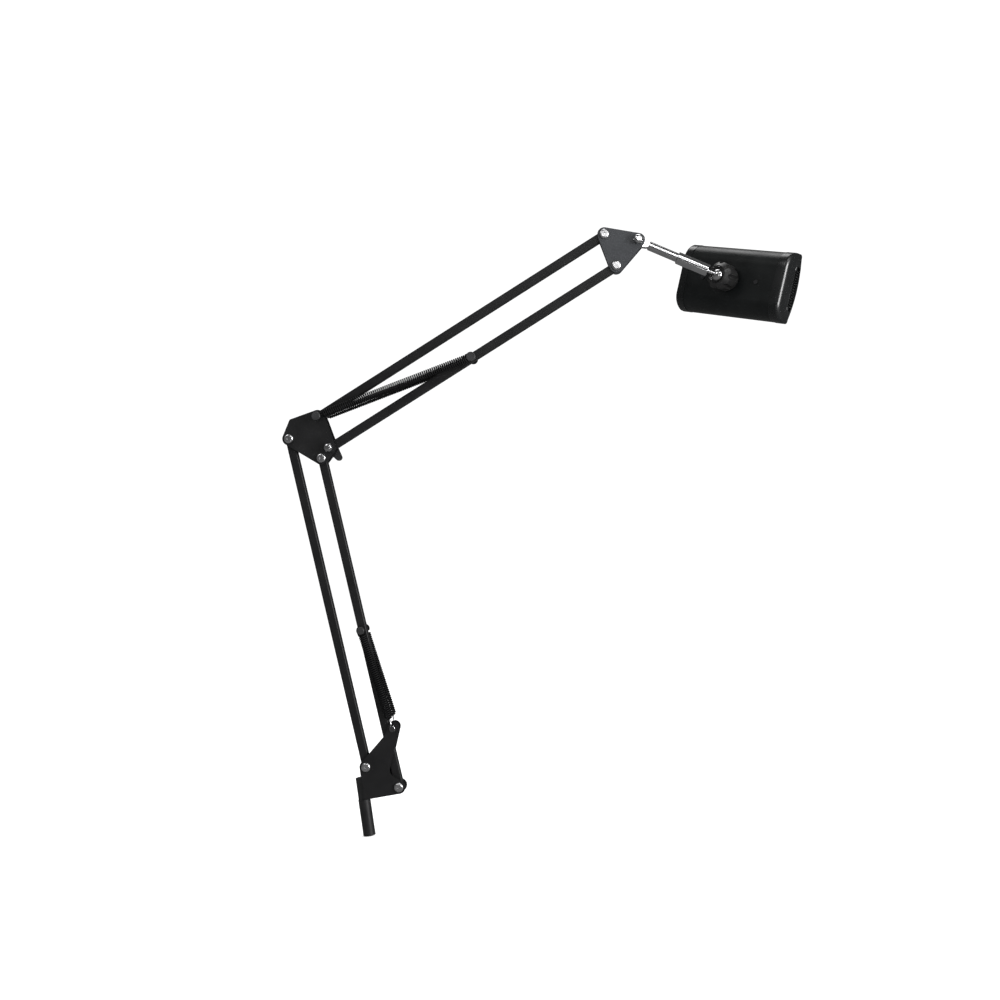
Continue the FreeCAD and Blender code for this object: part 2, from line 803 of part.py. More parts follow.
def make_ball_seat():
    """A split-free nylon cup that grips the ball from just above its middle down."""
    body = new_body("ball_seat")
    middle = size("head_offset")
    top = middle + size("seat_lip")
    bottom = middle - size("seat_depth")
    turn_solid(body, [(0, bottom), (seat_outer(), bottom), (seat_outer(), top), (0, top)])
    hollow = body.newObject("PartDesign::SubtractiveSphere", "ball_seat_hollow")
    radius = size("ball_radius") + size("run_clearance")
    hollow.Radius = radius.value
    hollow.setExpression("Radius", radius.formula)
    plane = next(feature for feature in body.Origin.OriginFeatures if feature.Role == "XY_Plane")
    hollow.AttachmentSupport = [(plane, "")]
    hollow.MapMode = "FlatFace"
    hollow.AttachmentOffset = FreeCAD.Placement(Vector(0, 0, middle.value), FreeCAD.Rotation())
    hollow.setExpression("AttachmentOffset.Base.z", middle.formula)
    document.recompute()
    return finish_on_head(body)


def make_collar():
    """The notched collar nut that holds the seat on the socket stub."""
    body = new_body("collar_nut")
    middle = size("head_offset")
    clearance = size("bush_clearance")
    seat_side = seat_outer() + clearance
    outer = seat_side + size("collar_wall")
    seat_top = middle + size("seat_lip") + clearance
    seat_bottom = middle - size("seat_depth")
    top = middle + size("collar_top")
    bottom = middle - size("collar_bottom")
    chamfer, shoulder = size("collar_chamfer"), size("collar_shoulder")
    mouth = size("ball_radius") + size("mouth_clearance")
    thread = column_radius() + clearance
    profile = [
        (thread, bottom),
        (outer - chamfer, bottom),
        (outer, bottom + chamfer),
        (outer, top - shoulder),
        (outer - shoulder, top),
        (mouth + (top - seat_top), top),
        (mouth, seat_top),
        (seat_side, seat_top),
        (seat_side, seat_bottom),
        (thread, seat_bottom),
    ]
    turn_solid(body, profile)
    notch = new_sketch(body, "XY_Plane", top)
    draw_circle(notch, outer + size("notch_radius") * 0.2, 0, size("notch_radius"))
    pocket = cut(body, notch, top - bottom)
    ring = body.newObject("PartDesign::PolarPattern", "collar_nut_notches")
    ring.Originals = [pocket]
    ring.Axis = (notch, ["N_Axis"])
    ring.Angle = 360.0
    ring.Occurrences = int(sheet.notches)
    ring.setExpression("Occurrences", size("notches").formula)
    body.Tip = ring
    document.recompute()
    return finish_on_head(body)


def column_radius():
    return seat_outer() - size("run_clearance") * 10


def make_socket():
    """The round socket stub on the back: a flange screwed down and a column for collar and seat."""
    body = new_body("socket_stub")
    height, column = size("flange_height"), column_radius()
    top = size("head_offset") - size("seat_depth") - size("bush_clearance")
    edge = size("small_chamfer")
    flange = size("flange_radius")
    profile = [
        (0, 0),
        (flange, 0),
        (flange, height - edge),
        (flange - edge, height),
        (column, height),
        (column, top),
        (column - size("column_wall"), top),
        (column - size("column_wall"), height),
        (0, height),
    ]
    turn_solid(body, profile)
    return finish_on_head(body)


# ---------------------------------------------------------------- head
def section_half():
    return size("back_half") + size("shoulder")


def housing_outline():
    """One closed line round the housing's open section: outside first, then back round the inside."""
    wall = size("head_wall")
    back, shoulder = size("back_half"), size("shoulder")
    foot_radius = size("foot_radius")
    foot_x = section_half() - foot_radius
    foot = -size("foot_z")
    lip_x = section_half() - size("lip_width")
    lip = (foot - foot_radius) + wall / 2
    inside = [
        (-lip_x, lip, wall / 2, 1),
        (-foot_x, foot, foot_radius - wall, -1),
        (-back, -shoulder, shoulder - wall, -1),
        (back, -shoulder, shoulder - wall, -1),
        (foot_x, foot, foot_radius - wall, -1),
        (lip_x, lip, wall / 2, 1),
    ]
    outside = [
        (foot_x, foot, foot_radius, 1),
        (back, -shoulder, shoulder, 1),
        (-back, -shoulder, shoulder, 1),
        (-foot_x, foot, foot_radius, 1),
    ]
    return outside + inside


def skin_outline(grow):
    """The housing's outside with its front closed, grown by grow all round."""
    back, shoulder = size("back_half"), size("shoulder")
    foot_radius = size("foot_radius")
    foot_x = section_half() - foot_radius
    foot = -size("foot_z")
    return [
        (foot_x, foot, foot_radius + grow, 1),
        (back, -shoulder, shoulder + grow, 1),
        (-back, -shoulder, shoulder + grow, 1),
        (-foot_x, foot, foot_radius + grow, 1),
    ]


def housing_length():
    return size("head_length") - size("cap_length") * 2


def make_housing():
    """An aluminium extrusion, open at both ends and along its front."""
    body = new_body("housing")
    sketch = new_sketch(body, "YZ_Plane", -(housing_length() / 2))
    draw_belt(sketch, housing_outline())
    pad(body, sketch, housing_length())
    holes = new_sketch(body, "XY_Plane", 1)
    for side in (-1, 1):
        draw_circle(holes, side * size("screw_x"), 0, size("screw_radius"))
    cut(body, holes, size("head_wall") + 2)
    return finish_on_head(body)


def make_end_cap(label, side):
    """A moulded end cap that carries the housing's section on, with a spigot into the housing."""
    body = new_body(label)
    half, skirt = size("head_length") / 2, size("cap_length")
    start = half - skirt if side > 0 else -half
    front = -(size("foot_z") + size("foot_radius"))
    bow = new_sketch(body, "YZ_Plane", start)
    draw_bow(bow, front - size("cap_proud") * 0.5, size("lens_sag") + size("cap_proud") * 0.5)
    pad(body, bow, skirt)
    sketch = new_sketch(body, "YZ_Plane", start)
    draw_belt(sketch, skin_outline(size("cap_proud")))
    pad(body, sketch, skirt)
    face = side * half.value
    soften(body, size("cap_round"), lambda edge: on_end(edge, face))
    hollow_cap(body, start, side)
    cut_vent(body, start, side)
    if side < 0:
        openings = new_sketch(body, "YZ_Plane", start + size("cap_wall"))
        draw_circle(openings, *inlet_place(), size("inlet_radius"))
        draw_circle(openings, *button_place(), size("button_radius") + size("side_clearance"))
        cut(body, openings, size("cap_wall"))
    return finish_on_head(body)


def on_end(edge, x):
    box = edge.BoundBox
    return abs(box.XMin - x) < 1e-4 and abs(box.XMax - x) < 1e-4


def hollow_cap(body, start, side):
    """Hollows the cap behind its end wall and adds the ring that fits into the housing's back and sides."""
    skirt, depth = size("cap_length"), size("cap_length") - size("cap_wall")
    inside = start if side > 0 else start + size("cap_wall")
    room = new_sketch(body, "YZ_Plane", inside + depth)
    draw_belt(room, skin_outline(-size("head_wall")))
    cut(body, room, depth)
    length, fit = size("spigot_length"), size("head_wall") + size("run_clearance")
    foot = start - length if side > 0 else start + skirt - length
    root, tip = (foot + length, foot) if side > 0 else (foot, foot + length)
    for place, inset in ((root, size("head_wall") / 2), (tip, fit)):
        ring = new_sketch(body, "YZ_Plane", place)
        draw_belt(ring, skin_outline(-inset))
        draw_belt(ring, spigot_hole(fit, size("spigot_wall")))
        pad(body, ring, length)
    gap = new_sketch(body, "YZ_Plane", foot + length * 2)
    low = -(size("foot_z") + size("foot_radius")) + size("head_wall")
    half = section_half() - size("head_wall")
    draw_rectangle(gap, -half, low, half, low + size("shoulder"))
    cut(body, gap, length * 2)


def spigot_hole(fit, wall):
    """The inside of the ring: the section's own curves, a wall further in."""
    back, shoulder = size("back_half"), size("shoulder")
    foot_radius = size("foot_radius")
    foot_x = section_half() - foot_radius - wall
    foot = wall - size("foot_z")
    return [
        (foot_x, foot, foot_radius - fit, 1),
        (back, -shoulder, shoulder - fit - wall, 1),
        (-back, -shoulder, shoulder - fit - wall, 1),
        (-foot_x, foot, foot_radius - fit, 1),
    ]


def draw_bow(sketch, level, sag):
    """The shallow bow of the front between the feet: a chord at level and an arc sag deep."""
    half = section_half() - size("foot_radius")
    left = Vector(-half.value, level.value, 0)
    right = Vector(half.value, level.value, 0)
    low = Vector(0, level.value - sag.value, 0)
    chord = sketch.addGeometry(Part.LineSegment(right, left), False)
    arc = sketch.addGeometry(Part.Arc(left, low, right), False)
    sketch.addConstraint(Sketcher.Constraint("Coincident", chord, 2, arc, 1))
    sketch.addConstraint(Sketcher.Constraint("Coincident", arc, 2, chord, 1))
    fix_point(sketch, chord, 1, half, level)
    fix_point(sketch, chord, 2, -half, level)
    radius = (half * half + sag * sag) / (sag * 2)
    bind(sketch, "Radius", (arc,), radius)


def cut_vent(body, start, side):
    """The vent slot through the cap's end wall, then the ribs that stand back inside it."""
    wall = size("cap_wall")
    half = size("slot_length") / 2
    width = size("slot_width") / 2
    level = -size("slot_z")
    outside = start + size("cap_length") if side > 0 else start + wall
    slot = new_sketch(body, "YZ_Plane", outside)
    ends = half - width
    draw_belt(slot, [(ends, level, width, 1), (-ends, level, width, 1)])
    cut(body, slot, wall)
    inner = outside - wall if side > 0 else outside - wall + size("rib_recess")
    ribs = new_sketch(body, "YZ_Plane", inner)
    pitch, thick = size("rib_pitch"), size("rib_thickness")
    count = int((sheet.slot_length - sheet.slot_width) / sheet.rib_pitch)
    for rib in range(count + 1):
        middle = (rib - count / 2) * pitch
        low = level - width
        high = low + width * 2 * size("rib_share")
        draw_rectangle(ribs, middle - thick / 2, low, middle + thick / 2, high)
    pad(body, ribs, wall - size("rib_recess"))


def make_lens():
    """The curved diffuser that closes the front: a slice of a thin tube between the housing's lips."""
    front = size("foot_z") + size("foot_radius")
    half = section_half() - size("lip_width") - size("head_wall") / 2 - size("side_clearance")
    sag = size("lens_sag") - size("side_clearance")
    radius = (half * half + sag * sag) / (sag * 2)
    length = housing_length() - size("run_clearance") * 2
    outer = document.addObject("Part::Cylinder", "lens_outer")
    inner = document.addObject("Part::Cylinder", "lens_inner")
    for cylinder, shrink in ((outer, as_size(0)), (inner, size("lens_thickness"))):
        grown = radius - shrink
        cylinder.Radius = grown.value
        cylinder.setExpression("Radius", grown.formula)
        cylinder.Height = length.value
        cylinder.setExpression("Height", length.formula)
        axis_height = radius.value - (front + sag).value
        turn = FreeCAD.Rotation(Vector(0, 1, 0), 90)
        cylinder.Placement = FreeCAD.Placement(Vector(-length.value / 2, 0, axis_height), turn)
    shell = document.addObject("Part::Cut", "lens_shell")
    shell.Base = outer
    shell.Tool = inner
    window = document.addObject("Part::Box", "lens_window")
    for name, extent in (("Length", length), ("Width", half * 2), ("Height", sag + size("lens_thickness"))):
        setattr(window, name, extent.value)
        window.setExpression(name, extent.formula)
    low = -(front + sag).value
    window.Placement = FreeCAD.Placement(Vector(-length.value / 2, -half.value, low), FreeCAD.Rotation())
    lens = document.addObject("Part::Common", "diffuser_lens")
    lens.Base = shell
    lens.Tool = window
    lens.Label = "diffuser_lens"
    document.recompute()
    return finish_on_head(lens)


def slab(label, centre_x, centre_y, top, length, width, thickness):
    """A flat rectangular plate in the head, its upper face at top."""
    body = new_body(label)
    sketch = new_sketch(body, "XY_Plane", top - thickness)
    half_x, half_y = length / 2, width / 2
    centre_x, centre_y = as_size(centre_x), as_size(centre_y)
    draw_rectangle(sketch, centre_x - half_x, centre_y - half_y, centre_x + half_x, centre_y + half_y)
    pad(body, sketch, thickness)
    return body


def board_top():
    """The back face of the heat spreader, which rests on the housing's lips."""
    return -(size("foot_z") + size("foot_radius")) + size("head_wall") + stack_height()


def stack_height():
    return size("spreader_thickness") + size("board_thickness") + size("side_clearance")


def make_light_engine():
    """Heat spreader, LED board under it, and the LEDs in two rows facing the lens."""
    width = (section_half() - size("head_wall") - size("side_clearance")) * 2
    length = housing_length() - size("spigot_length") * 2
    top = board_top()
    spreader = slab("heat_spreader", 0, 0, top, length, width, size("spreader_thickness"))
    finish_on_head(spreader)
    board_up = top - size("spreader_thickness")
    opening = (section_half() - size("lip_width")) * 2 - size("board_gap") * 2
    board_length = length - size("board_gap") * 2
    board = slab("led_board", 0, 0, board_up, board_length, opening, size("board_thickness"))
    finish_on_head(board)
    body = new_body("leds")
    low = board_up - size("board_thickness") - size("led_height")
    sketch = new_sketch(body, "XY_Plane", low)
    half, spacing = size("led_size") / 2, size("led_spacing")
    columns = int((sheet.head_length - 4 * sheet.cap_length) / sheet.led_spacing)
    for column in range(columns):
        x = (column - (columns - 1) / 2) * spacing
        for line in (-1, 1):
            y = line * spacing
            draw_rectangle(sketch, x - half, y - half, x + half, y + half)
    pad(body, sketch, size("led_height"))
    finish_on_head(body)


def make_driver():
    """The driver board behind the spreader, with its three tallest components."""
    body = new_body("driver_board")
    bottom = board_top() + size("board_gap")
    sketch = new_sketch(body, "XY_Plane", bottom)
    half_x, half_y = size("driver_length") / 2, size("driver_width") / 2
    draw_rectangle(sketch, -half_x, -half_y, half_x, half_y)
    pad(body, sketch, size("board_thickness"))
    tall = new_sketch(body, "XY_Plane", bottom + size("board_thickness"))
    step = size("driver_length") / 4
    for column in (-1, 0, 1):
        x = column * step
        draw_rectangle(tall, x - step / 3, -half_y / 2, x + step / 3, half_y / 2)
    pad(body, tall, size("led_size"))
    posts = new_sketch(body, "XY_Plane", board_top())
    for side in (-1, 1):
        draw_circle(posts, side * (half_x - size("led_size")), 0, size("led_size") / 2)
    pad(body, posts, size("board_gap"))
    return finish_on_head(body)


def make_screws():
    """Two countersunk screws that show on the back and hold the inner bracket."""
    body = new_body("head_screws")
    wall = size("head_wall")
    centres = [side * size("screw_x") for side in (-1, 1)]
    shank = new_sketch(body, "XY_Plane", -(wall * 3))
    head = new_sketch(body, "XY_Plane", 0)
    for x in centres:
        draw_circle(shank, x, 0, size("screw_radius"))
        draw_circle(head, x, 0, size("screw_head"))
    pad(body, shank, wall * 3)
    pad(body, head, size("led_height"))
    return finish_on_head(body)


def make_button():
    """The round push button in the left end cap's wall, with a flange that keeps it in."""
    body = new_body("power_button")
    travel, radius = size("button_travel"), size("button_radius")
    outside = -(size("head_length") / 2) - travel - size("side_clearance")
    inside = -(size("head_length") / 2) + size("cap_wall") + size("side_clearance")
    stem = new_sketch(body, "YZ_Plane", outside)
    draw_circle(stem, *button_place(), radius)
    pad(body, stem, inside - outside)
    crown = outside.value
    soften(body, size("small_chamfer"), lambda edge: on_end(edge, crown))
    flange = new_sketch(body, "YZ_Plane", inside)
    draw_circle(flange, *button_place(), radius + travel)
    pad(body, flange, travel)
    return finish_on_head(body)


def button_place():
    return (size("button_y"), size("button_z"))


def make_inlet():
    """The barrel inlet for a lead, through the left end cap's wall beside the vent."""
    body = new_body("power_inlet")
    half, wall = size("head_length") / 2, size("cap_wall")
    length, radius = size("inlet_length"), size("inlet_radius")
    sketch = new_sketch(body, "YZ_Plane", -half)
    place = inlet_place()
    draw_circle(sketch, *place, radius)
    draw_circle(sketch, *place, radius - size("rib_thickness"))
    pad(body, sketch, length)
    barrel = new_sketch(body, "YZ_Plane", -half + wall)
    draw_circle(barrel, *place, radius + size("rib_thickness"))
    draw_circle(barrel, *place, radius - size("rib_thickness"))
    pad(body, barrel, length - wall)
    return finish_on_head(body)


def inlet_place():
    y = -(size("slot_length") / 2) + size("inlet_radius") * 2
    z = -(size("slot_z") - size("slot_width") / 2 - size("inlet_radius") - size("rib_thickness") * 1.5)
    return (y, z)


# ---------------------------------------------------------------- springs
def spring_frame(pin, anchor):
    """Length and angle of the line from a spring's pin to its hooked end."""
    run = (anchor[0] - pin[0], anchor[1] - pin[1])
    return math.hypot(*run), math.degrees(math.atan2(run[1], run[0]))


def spring_side():
    """How far the spring's axis stands from the arm's plane: the middle of the bobbin's groove."""
    return sheet.pin_reach - sheet.bobbin_cap - sheet.bobbin_groove + sheet.wire_radius / 2


def wind_coil(start, end):
    """A helical coil along X from start to end, wound in equal lengths that are fused end to end."""
    turns = (end - start) / sheet.coil_pitch
    lengths = math.ceil(turns / 10)
    turns_each = round(turns / lengths)
    pitch = (end - start) / (lengths * turns_each)
    helix = Part.makeHelix(pitch, pitch * turns_each, sheet.coil_radius)
    section = Part.makeCircle(sheet.wire_radius, Vector(sheet.coil_radius, 0, 0), Vector(0, 1, 0))
    first = Part.Wire(helix.Edges).makePipeShell([Part.Wire([section])], True, True)
    others = []
    for index in range(1, lengths):
        piece = first.copy()
        piece.translate(Vector(0, 0, index * turns_each * pitch))
        others.append(piece)
    coil = first.fuse(others)
    coil.rotate(Vector(0, 0, 0), Vector(0, 1, 0), 90)
    coil.translate(Vector(start, 0, 0))
    return coil


def spring_shape(length, tail):
    """One tension spring along X from its pin: the coil, and the eye round the pin's bobbin."""
    start = sheet.coil_start
    end = length - tail.value - sheet.end_turns
    wire = sheet.wire_radius
    coil = wind_coil(start, end)
    ring = Part.makeTorus(eye_radius(), wire, Vector(0, 0, 0), Vector(0, 1, 0))
    shank_end = start - wire * 3
    shank = Part.makeCylinder(wire, shank_end - eye_radius(), Vector(eye_radius(), 0, 0), Vector(1, 0, 0))
    eye = ring.fuse(shank).removeSplitter()
    return Part.makeCompound([coil, eye])


def make_springs(name, pin, anchor, tail):
    """The pair of equal springs, one on each side of the arm."""
    length, angle = spring_frame(pin, anchor)
    shape = spring_shape(length, tail)
    for word, side in (("right", -1), ("left", 1)):
        spring = document.addObject("Part::Feature", f"{name}_spring_{word}")
        spring.Label = f"{name}_spring_{word}"
        spring.Shape = shape
        finish(spring, pin[0], side * spring_side(), pin[1], upward(angle))


def eye_radius():
    return sheet.bobbin_waist + sheet.wire_radius + sheet.run_clearance


def make_spring_ends(label, pin, anchor, tail):
    """The close-wound end turns of both springs, at the hooked end."""
    length, angle = spring_frame(pin, anchor)
    body = new_body(label)
    place = as_size(length) - tail - size("end_turns") + size("wire_radius") * 2
    outer = size("coil_radius") + size("wire_radius")
    for side in (-1, 1):
        sketch = new_sketch(body, "YZ_Plane", place)
        y = as_size(side * spring_side())
        draw_circle(sketch, y, 0, outer)
        draw_circle(sketch, y, 0, size("coil_radius") - size("wire_radius"))
        pad(body, sketch, size("end_turns") - size("wire_radius") * 2)
    return finish(body, pin[0], 0.0, pin[1], upward(angle))


def make_hooks(label, pin, anchor, tail, inner_radius):
    """Both hooks of a pair of springs: a ring round the stud or bobbin, and a shank into the coil."""
    length, angle = spring_frame(pin, anchor)
    wire = sheet.wire_radius
    ring_radius = inner_radius + wire + sheet.run_clearance
    end = tail.value + sheet.end_turns * 2
    pieces = []
    for side in (-1, 1):
        centre = Vector(0, side * spring_side(), 0)
        ring = Part.makeTorus(ring_radius, wire, centre, Vector(0, 1, 0))
        foot = centre + Vector(ring_radius, 0, 0)
        shank = Part.makeCylinder(wire, end - ring_radius, foot, Vector(1, 0, 0))
        pieces.append(ring.fuse(shank).removeSplitter())
    hooks = document.addObject("Part::Feature", label)
    hooks.Label = label
    hooks.Shape = Part.makeCompound(pieces)
    return finish(hooks, anchor[0], 0.0, anchor[1], upward(angle + 180.0))


# ---------------------------------------------------------------- the whole lamp
def build_base():
    make_post()
    holes = [(*back_pivot, size("shank_radius")), (*front_pivot, size("shank_radius"))]
    holes += [(size("horn_x"), size("horn_z"), size("stud_radius"))]
    holes += [(x, z, size("rivet_radius")) for x, z in rivet_places()]
    make_plate("base_plate_right", base_outline(), holes, -1, (0.0, 0.0))
    make_plate("base_plate_left", base_outline(), holes, 1, (0.0, 0.0))
    make_rivets()
    make_bolts("base_bolts", [back_pivot, front_pivot], (0.0, 0.0))
    make_nuts("base_nuts", [back_pivot, front_pivot], (0.0, 0.0))
    make_horn_studs()


def build_lower_arm():
    length = size("lower_arm")
    make_bar("lower_back_bar", length, base_back, lower_angle)
    make_bushes("lower_back_bushes", length, base_back, lower_angle)
    make_bar("lower_front_bar", length, base_front, lower_angle, size("lower_pin_at"))
    make_bushes("lower_front_bushes", length, base_front, lower_angle)
    make_spring_pin("lower_spring_pin", lower_pin_place)
    make_bobbins("lower_spring_bobbins", lower_pin_place, bar_half, size("lower_cap_radius"))


def build_elbow():
    radius = size("shank_radius")
    holes = [(zero, zero, radius), (*link, radius), (*elbow_top, radius), (*elbow_bottom, radius)]
    make_plate("elbow_plate_right", elbow_outline(), holes, -1, elbow_at)
    make_plate("elbow_plate_left", elbow_outline(), holes, 1, elbow_at)
    make_bolts("elbow_bolts", [(zero, zero), link], elbow_at)
    make_nuts("elbow_nuts", [(zero, zero), link], elbow_at)
    make_spring_pin("elbow_spring_pin", elbow_top_at)
    make_bobbins("elbow_spring_bobbins", elbow_top_at, outer_half, size("elbow_cap_radius"))
    make_lock_bolt()
    make_dome_nut("elbow_dome_nut", elbow_bottom_at)
    make_lever()


def build_upper_arm():
    length = size("upper_arm")
    make_bar("upper_top_bar", length, elbow_top_at, upper_angle)
    make_bushes("upper_top_bushes", length, elbow_top_at, upper_angle)
    make_bar("upper_bottom_bar", length, elbow_bottom_at, upper_angle, size("upper_pin_at"))
    make_bushes("upper_bottom_bushes", length, elbow_bottom_at, upper_angle)
    make_spring_pin("upper_spring_pin", upper_pin_place)
    make_bobbins("upper_spring_bobbins", upper_pin_place, bar_half, size("upper_cap_radius"))


def build_yoke():
    radius = size("shank_radius")
    holes = [(zero, zero, radius), (*yoke_link, radius), (*tilt, radius)]
    make_plate("yoke_plate_right", yoke_outline(), holes, -1, yoke_at)
    make_plate("yoke_plate_left", yoke_outline(), holes, 1, yoke_at)
    make_bolts("yoke_bolts", [(zero, zero), yoke_link], yoke_at)
    make_nuts("yoke_nuts", [(zero, zero), yoke_link], yoke_at)
    make_tilt_bolt()
    make_dome_nut("tilt_dome_nut", tilt_at)


def build_stem_and_head():
    make_stem_eye()
    make_stem_tube()
    make_stem_sleeve()
    make_ball_stud()
    make_ball_seat()
    make_collar()
    make_socket()
    make_housing()
    make_end_cap("end_cap_right", 1)
    make_end_cap("end_cap_left", -1)
    make_lens()
    make_light_engine()
    make_driver()
    make_screws()
    make_button()
    make_inlet()


def build_springs():
    pairs = (
        ("lower", lower_pin_place, horn_at, size("lower_tail"), sheet.stud_radius),
        ("upper", upper_pin_place, elbow_top_at, size("upper_tail"), sheet.bobbin_waist),
    )
    for name, pin, anchor, tail, inner_radius in pairs:
        make_springs(name, pin, anchor, tail)
        make_spring_ends(f"{name}_spring_ends", pin, anchor, tail)
        make_hooks(f"{name}_spring_hooks", pin, anchor, tail, inner_radius)


def check_everything():
    """Stops with a plain message if any feature failed or any piece has no sound solid."""
    document.recompute()
    for item in document.Objects:
        bad = [word for word in item.State if word in ("Invalid", "Error")]
        if bad:
            raise ValueError(f"{item.Name} is {bad}")
    for item in parts:
        shape = item.Shape
        if shape.isNull() or not shape.isValid() or not shape.Solids:
            raise ValueError(f"{item.Label} has no valid solid")


def export_everything():
    os.makedirs("parts", exist_ok=True)
    for item in parts:
        item.Shape.exportStep(f"parts/{item.Label}.step")


build_base()
build_lower_arm()
build_elbow()
build_upper_arm()
build_yoke()
build_stem_and_head()
build_springs()
check_everything()
export_everything()
print(len(parts), "pieces")
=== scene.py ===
import json
import math

import bpy
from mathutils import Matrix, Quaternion, Vector


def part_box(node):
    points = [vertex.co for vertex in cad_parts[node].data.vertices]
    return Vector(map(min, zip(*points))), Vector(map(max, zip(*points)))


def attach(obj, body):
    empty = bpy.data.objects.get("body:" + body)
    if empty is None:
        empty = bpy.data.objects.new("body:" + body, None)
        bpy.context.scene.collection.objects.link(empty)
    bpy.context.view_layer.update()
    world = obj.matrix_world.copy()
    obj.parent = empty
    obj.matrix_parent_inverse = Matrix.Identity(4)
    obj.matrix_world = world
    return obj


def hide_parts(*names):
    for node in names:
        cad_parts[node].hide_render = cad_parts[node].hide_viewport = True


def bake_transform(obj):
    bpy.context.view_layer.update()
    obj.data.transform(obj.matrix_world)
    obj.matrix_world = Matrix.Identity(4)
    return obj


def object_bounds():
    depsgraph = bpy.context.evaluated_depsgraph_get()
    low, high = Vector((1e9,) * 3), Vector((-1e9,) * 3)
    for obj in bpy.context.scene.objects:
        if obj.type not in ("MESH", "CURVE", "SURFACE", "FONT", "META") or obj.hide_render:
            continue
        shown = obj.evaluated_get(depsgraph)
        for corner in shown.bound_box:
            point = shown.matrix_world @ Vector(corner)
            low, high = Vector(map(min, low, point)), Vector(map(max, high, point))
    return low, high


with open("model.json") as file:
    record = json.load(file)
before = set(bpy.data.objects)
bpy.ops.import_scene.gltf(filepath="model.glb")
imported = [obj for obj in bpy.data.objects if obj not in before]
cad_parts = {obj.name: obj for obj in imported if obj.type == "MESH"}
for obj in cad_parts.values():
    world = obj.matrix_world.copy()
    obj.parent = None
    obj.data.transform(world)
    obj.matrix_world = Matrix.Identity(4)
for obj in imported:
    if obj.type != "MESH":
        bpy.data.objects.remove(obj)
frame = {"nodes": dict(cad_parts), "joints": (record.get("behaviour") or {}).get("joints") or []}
cad_low, cad_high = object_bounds()
pivots = {joint["name"]: Vector(joint["pos_m"]) for joint in frame["joints"] if "pos_m" in joint}
axes = {joint["name"]: Vector(joint["axis"]).normalized() for joint in frame["joints"]}


# ------------------------------------------------------------------ post
# The round pin that drops into a clamp on the table's edge. Mild steel bar, turned, milled flat on
# both sides at the top and powder coated black; years of turning in clamps leave it a little polished.
def effect_group(name, inputs, outputs):
    """An empty shader node group with float inputs (name, default) and named outputs."""
    group = bpy.data.node_groups.new(name, "ShaderNodeTree")
    group.interface.new_socket("Position", in_out="INPUT", socket_type="NodeSocketVector")
    for socket, default in inputs:
        made = group.interface.new_socket(socket, in_out="INPUT", socket_type="NodeSocketFloat")
        made.default_value = default
    for socket in outputs:
        group.interface.new_socket(socket, in_out="OUTPUT", socket_type="NodeSocketFloat")
    return group, group.nodes.new("NodeGroupInput"), group.nodes.new("NodeGroupOutput")


def noise_node(tree, position, scale, detail, stretch=None):
    """A noise texture read at a position, stretched first if asked; gives its value output."""
    if stretch is not None:
        mapping = tree.nodes.new("ShaderNodeMapping")
        mapping.inputs["Scale"].default_value = stretch
        tree.links.new(position, mapping.inputs["Vector"])
        position = mapping.outputs["Vector"]
    noise = tree.nodes.new("ShaderNodeTexNoise")
    noise.inputs["Detail"].default_value = detail
    tree.links.new(position, noise.inputs["Vector"])
    if isinstance(scale, (int, float)):
        noise.inputs["Scale"].default_value = scale
    else:
        tree.links.new(scale, noise.inputs["Scale"])
    return noise.outputs["Fac"]


def span_node(tree, value, low, high, new_low, new_high):
    """Maps value from low..high onto new_low..new_high, held at the ends."""
    spread = tree.nodes.new("ShaderNodeMapRange")
    for socket, number in zip(("From Min", "From Max"), (low, high)):
        spread.inputs[socket].default_value = number
    for socket, number in zip(("To Min", "To Max"), (new_low, new_high)):
        if isinstance(number, (int, float)):
            spread.inputs[socket].default_value = number
        else:
            tree.links.new(number, spread.inputs[socket])
    tree.links.new(value, spread.inputs["Value"])
    return spread.outputs["Result"]


def make_coat_grain():
    """Powder coat and moulded skins: a fine pimpled height and a slow mottle of tone."""
    group, entry, leave = effect_group("coat_grain", [("Grain", 2600.0), ("Mottle Size", 60.0)], ["Height", "Mottle"])
    fine = noise_node(group, entry.outputs["Position"], entry.outputs["Grain"], 3.0)
    slow = noise_node(group, entry.outputs["Position"], entry.outputs["Mottle Size"], 4.0)
    group.links.new(fine, leave.inputs["Height"])
    group.links.new(span_node(group, slow, 0.3, 0.7, 0.0, 1.0), leave.inputs["Mottle"])
    return group


def make_handling_marks():
    """Where hands and clamps have rubbed: soft smudges with finer scuffs inside them."""
    group, entry, leave = effect_group("handling_marks", [("Size", 45.0), ("Spread", 0.5)], ["Mask"])
    smudge = noise_node(group, entry.outputs["Position"], entry.outputs["Size"], 5.0)
    scuff = noise_node(group, entry.outputs["Position"], 900.0, 2.0, stretch=(1.0, 1.0, 0.25))
    both = group.nodes.new("ShaderNodeMath")
    both.operation = "MULTIPLY"
    group.links.new(span_node(group, smudge, 0.42, 0.68, 0.0, entry.outputs["Spread"]), both.inputs[0])
    group.links.new(span_node(group, scuff, 0.3, 0.7, 0.4, 1.0), both.inputs[1])
    group.links.new(both.outputs["Value"], leave.inputs["Mask"])
    return group


COAT_GRAIN = make_coat_grain()
HANDLING_MARKS = make_handling_marks()


def new_material(name):
    """An empty material with its Principled shader, its tree and the object's own coordinates."""
    material = bpy.data.materials.new(name)
    material.use_nodes = True
    tree = material.node_tree
    shader = tree.nodes["Principled BSDF"]
    coordinates = tree.nodes.new("ShaderNodeTexCoord")
    return material, tree, shader, coordinates.outputs["Object"]


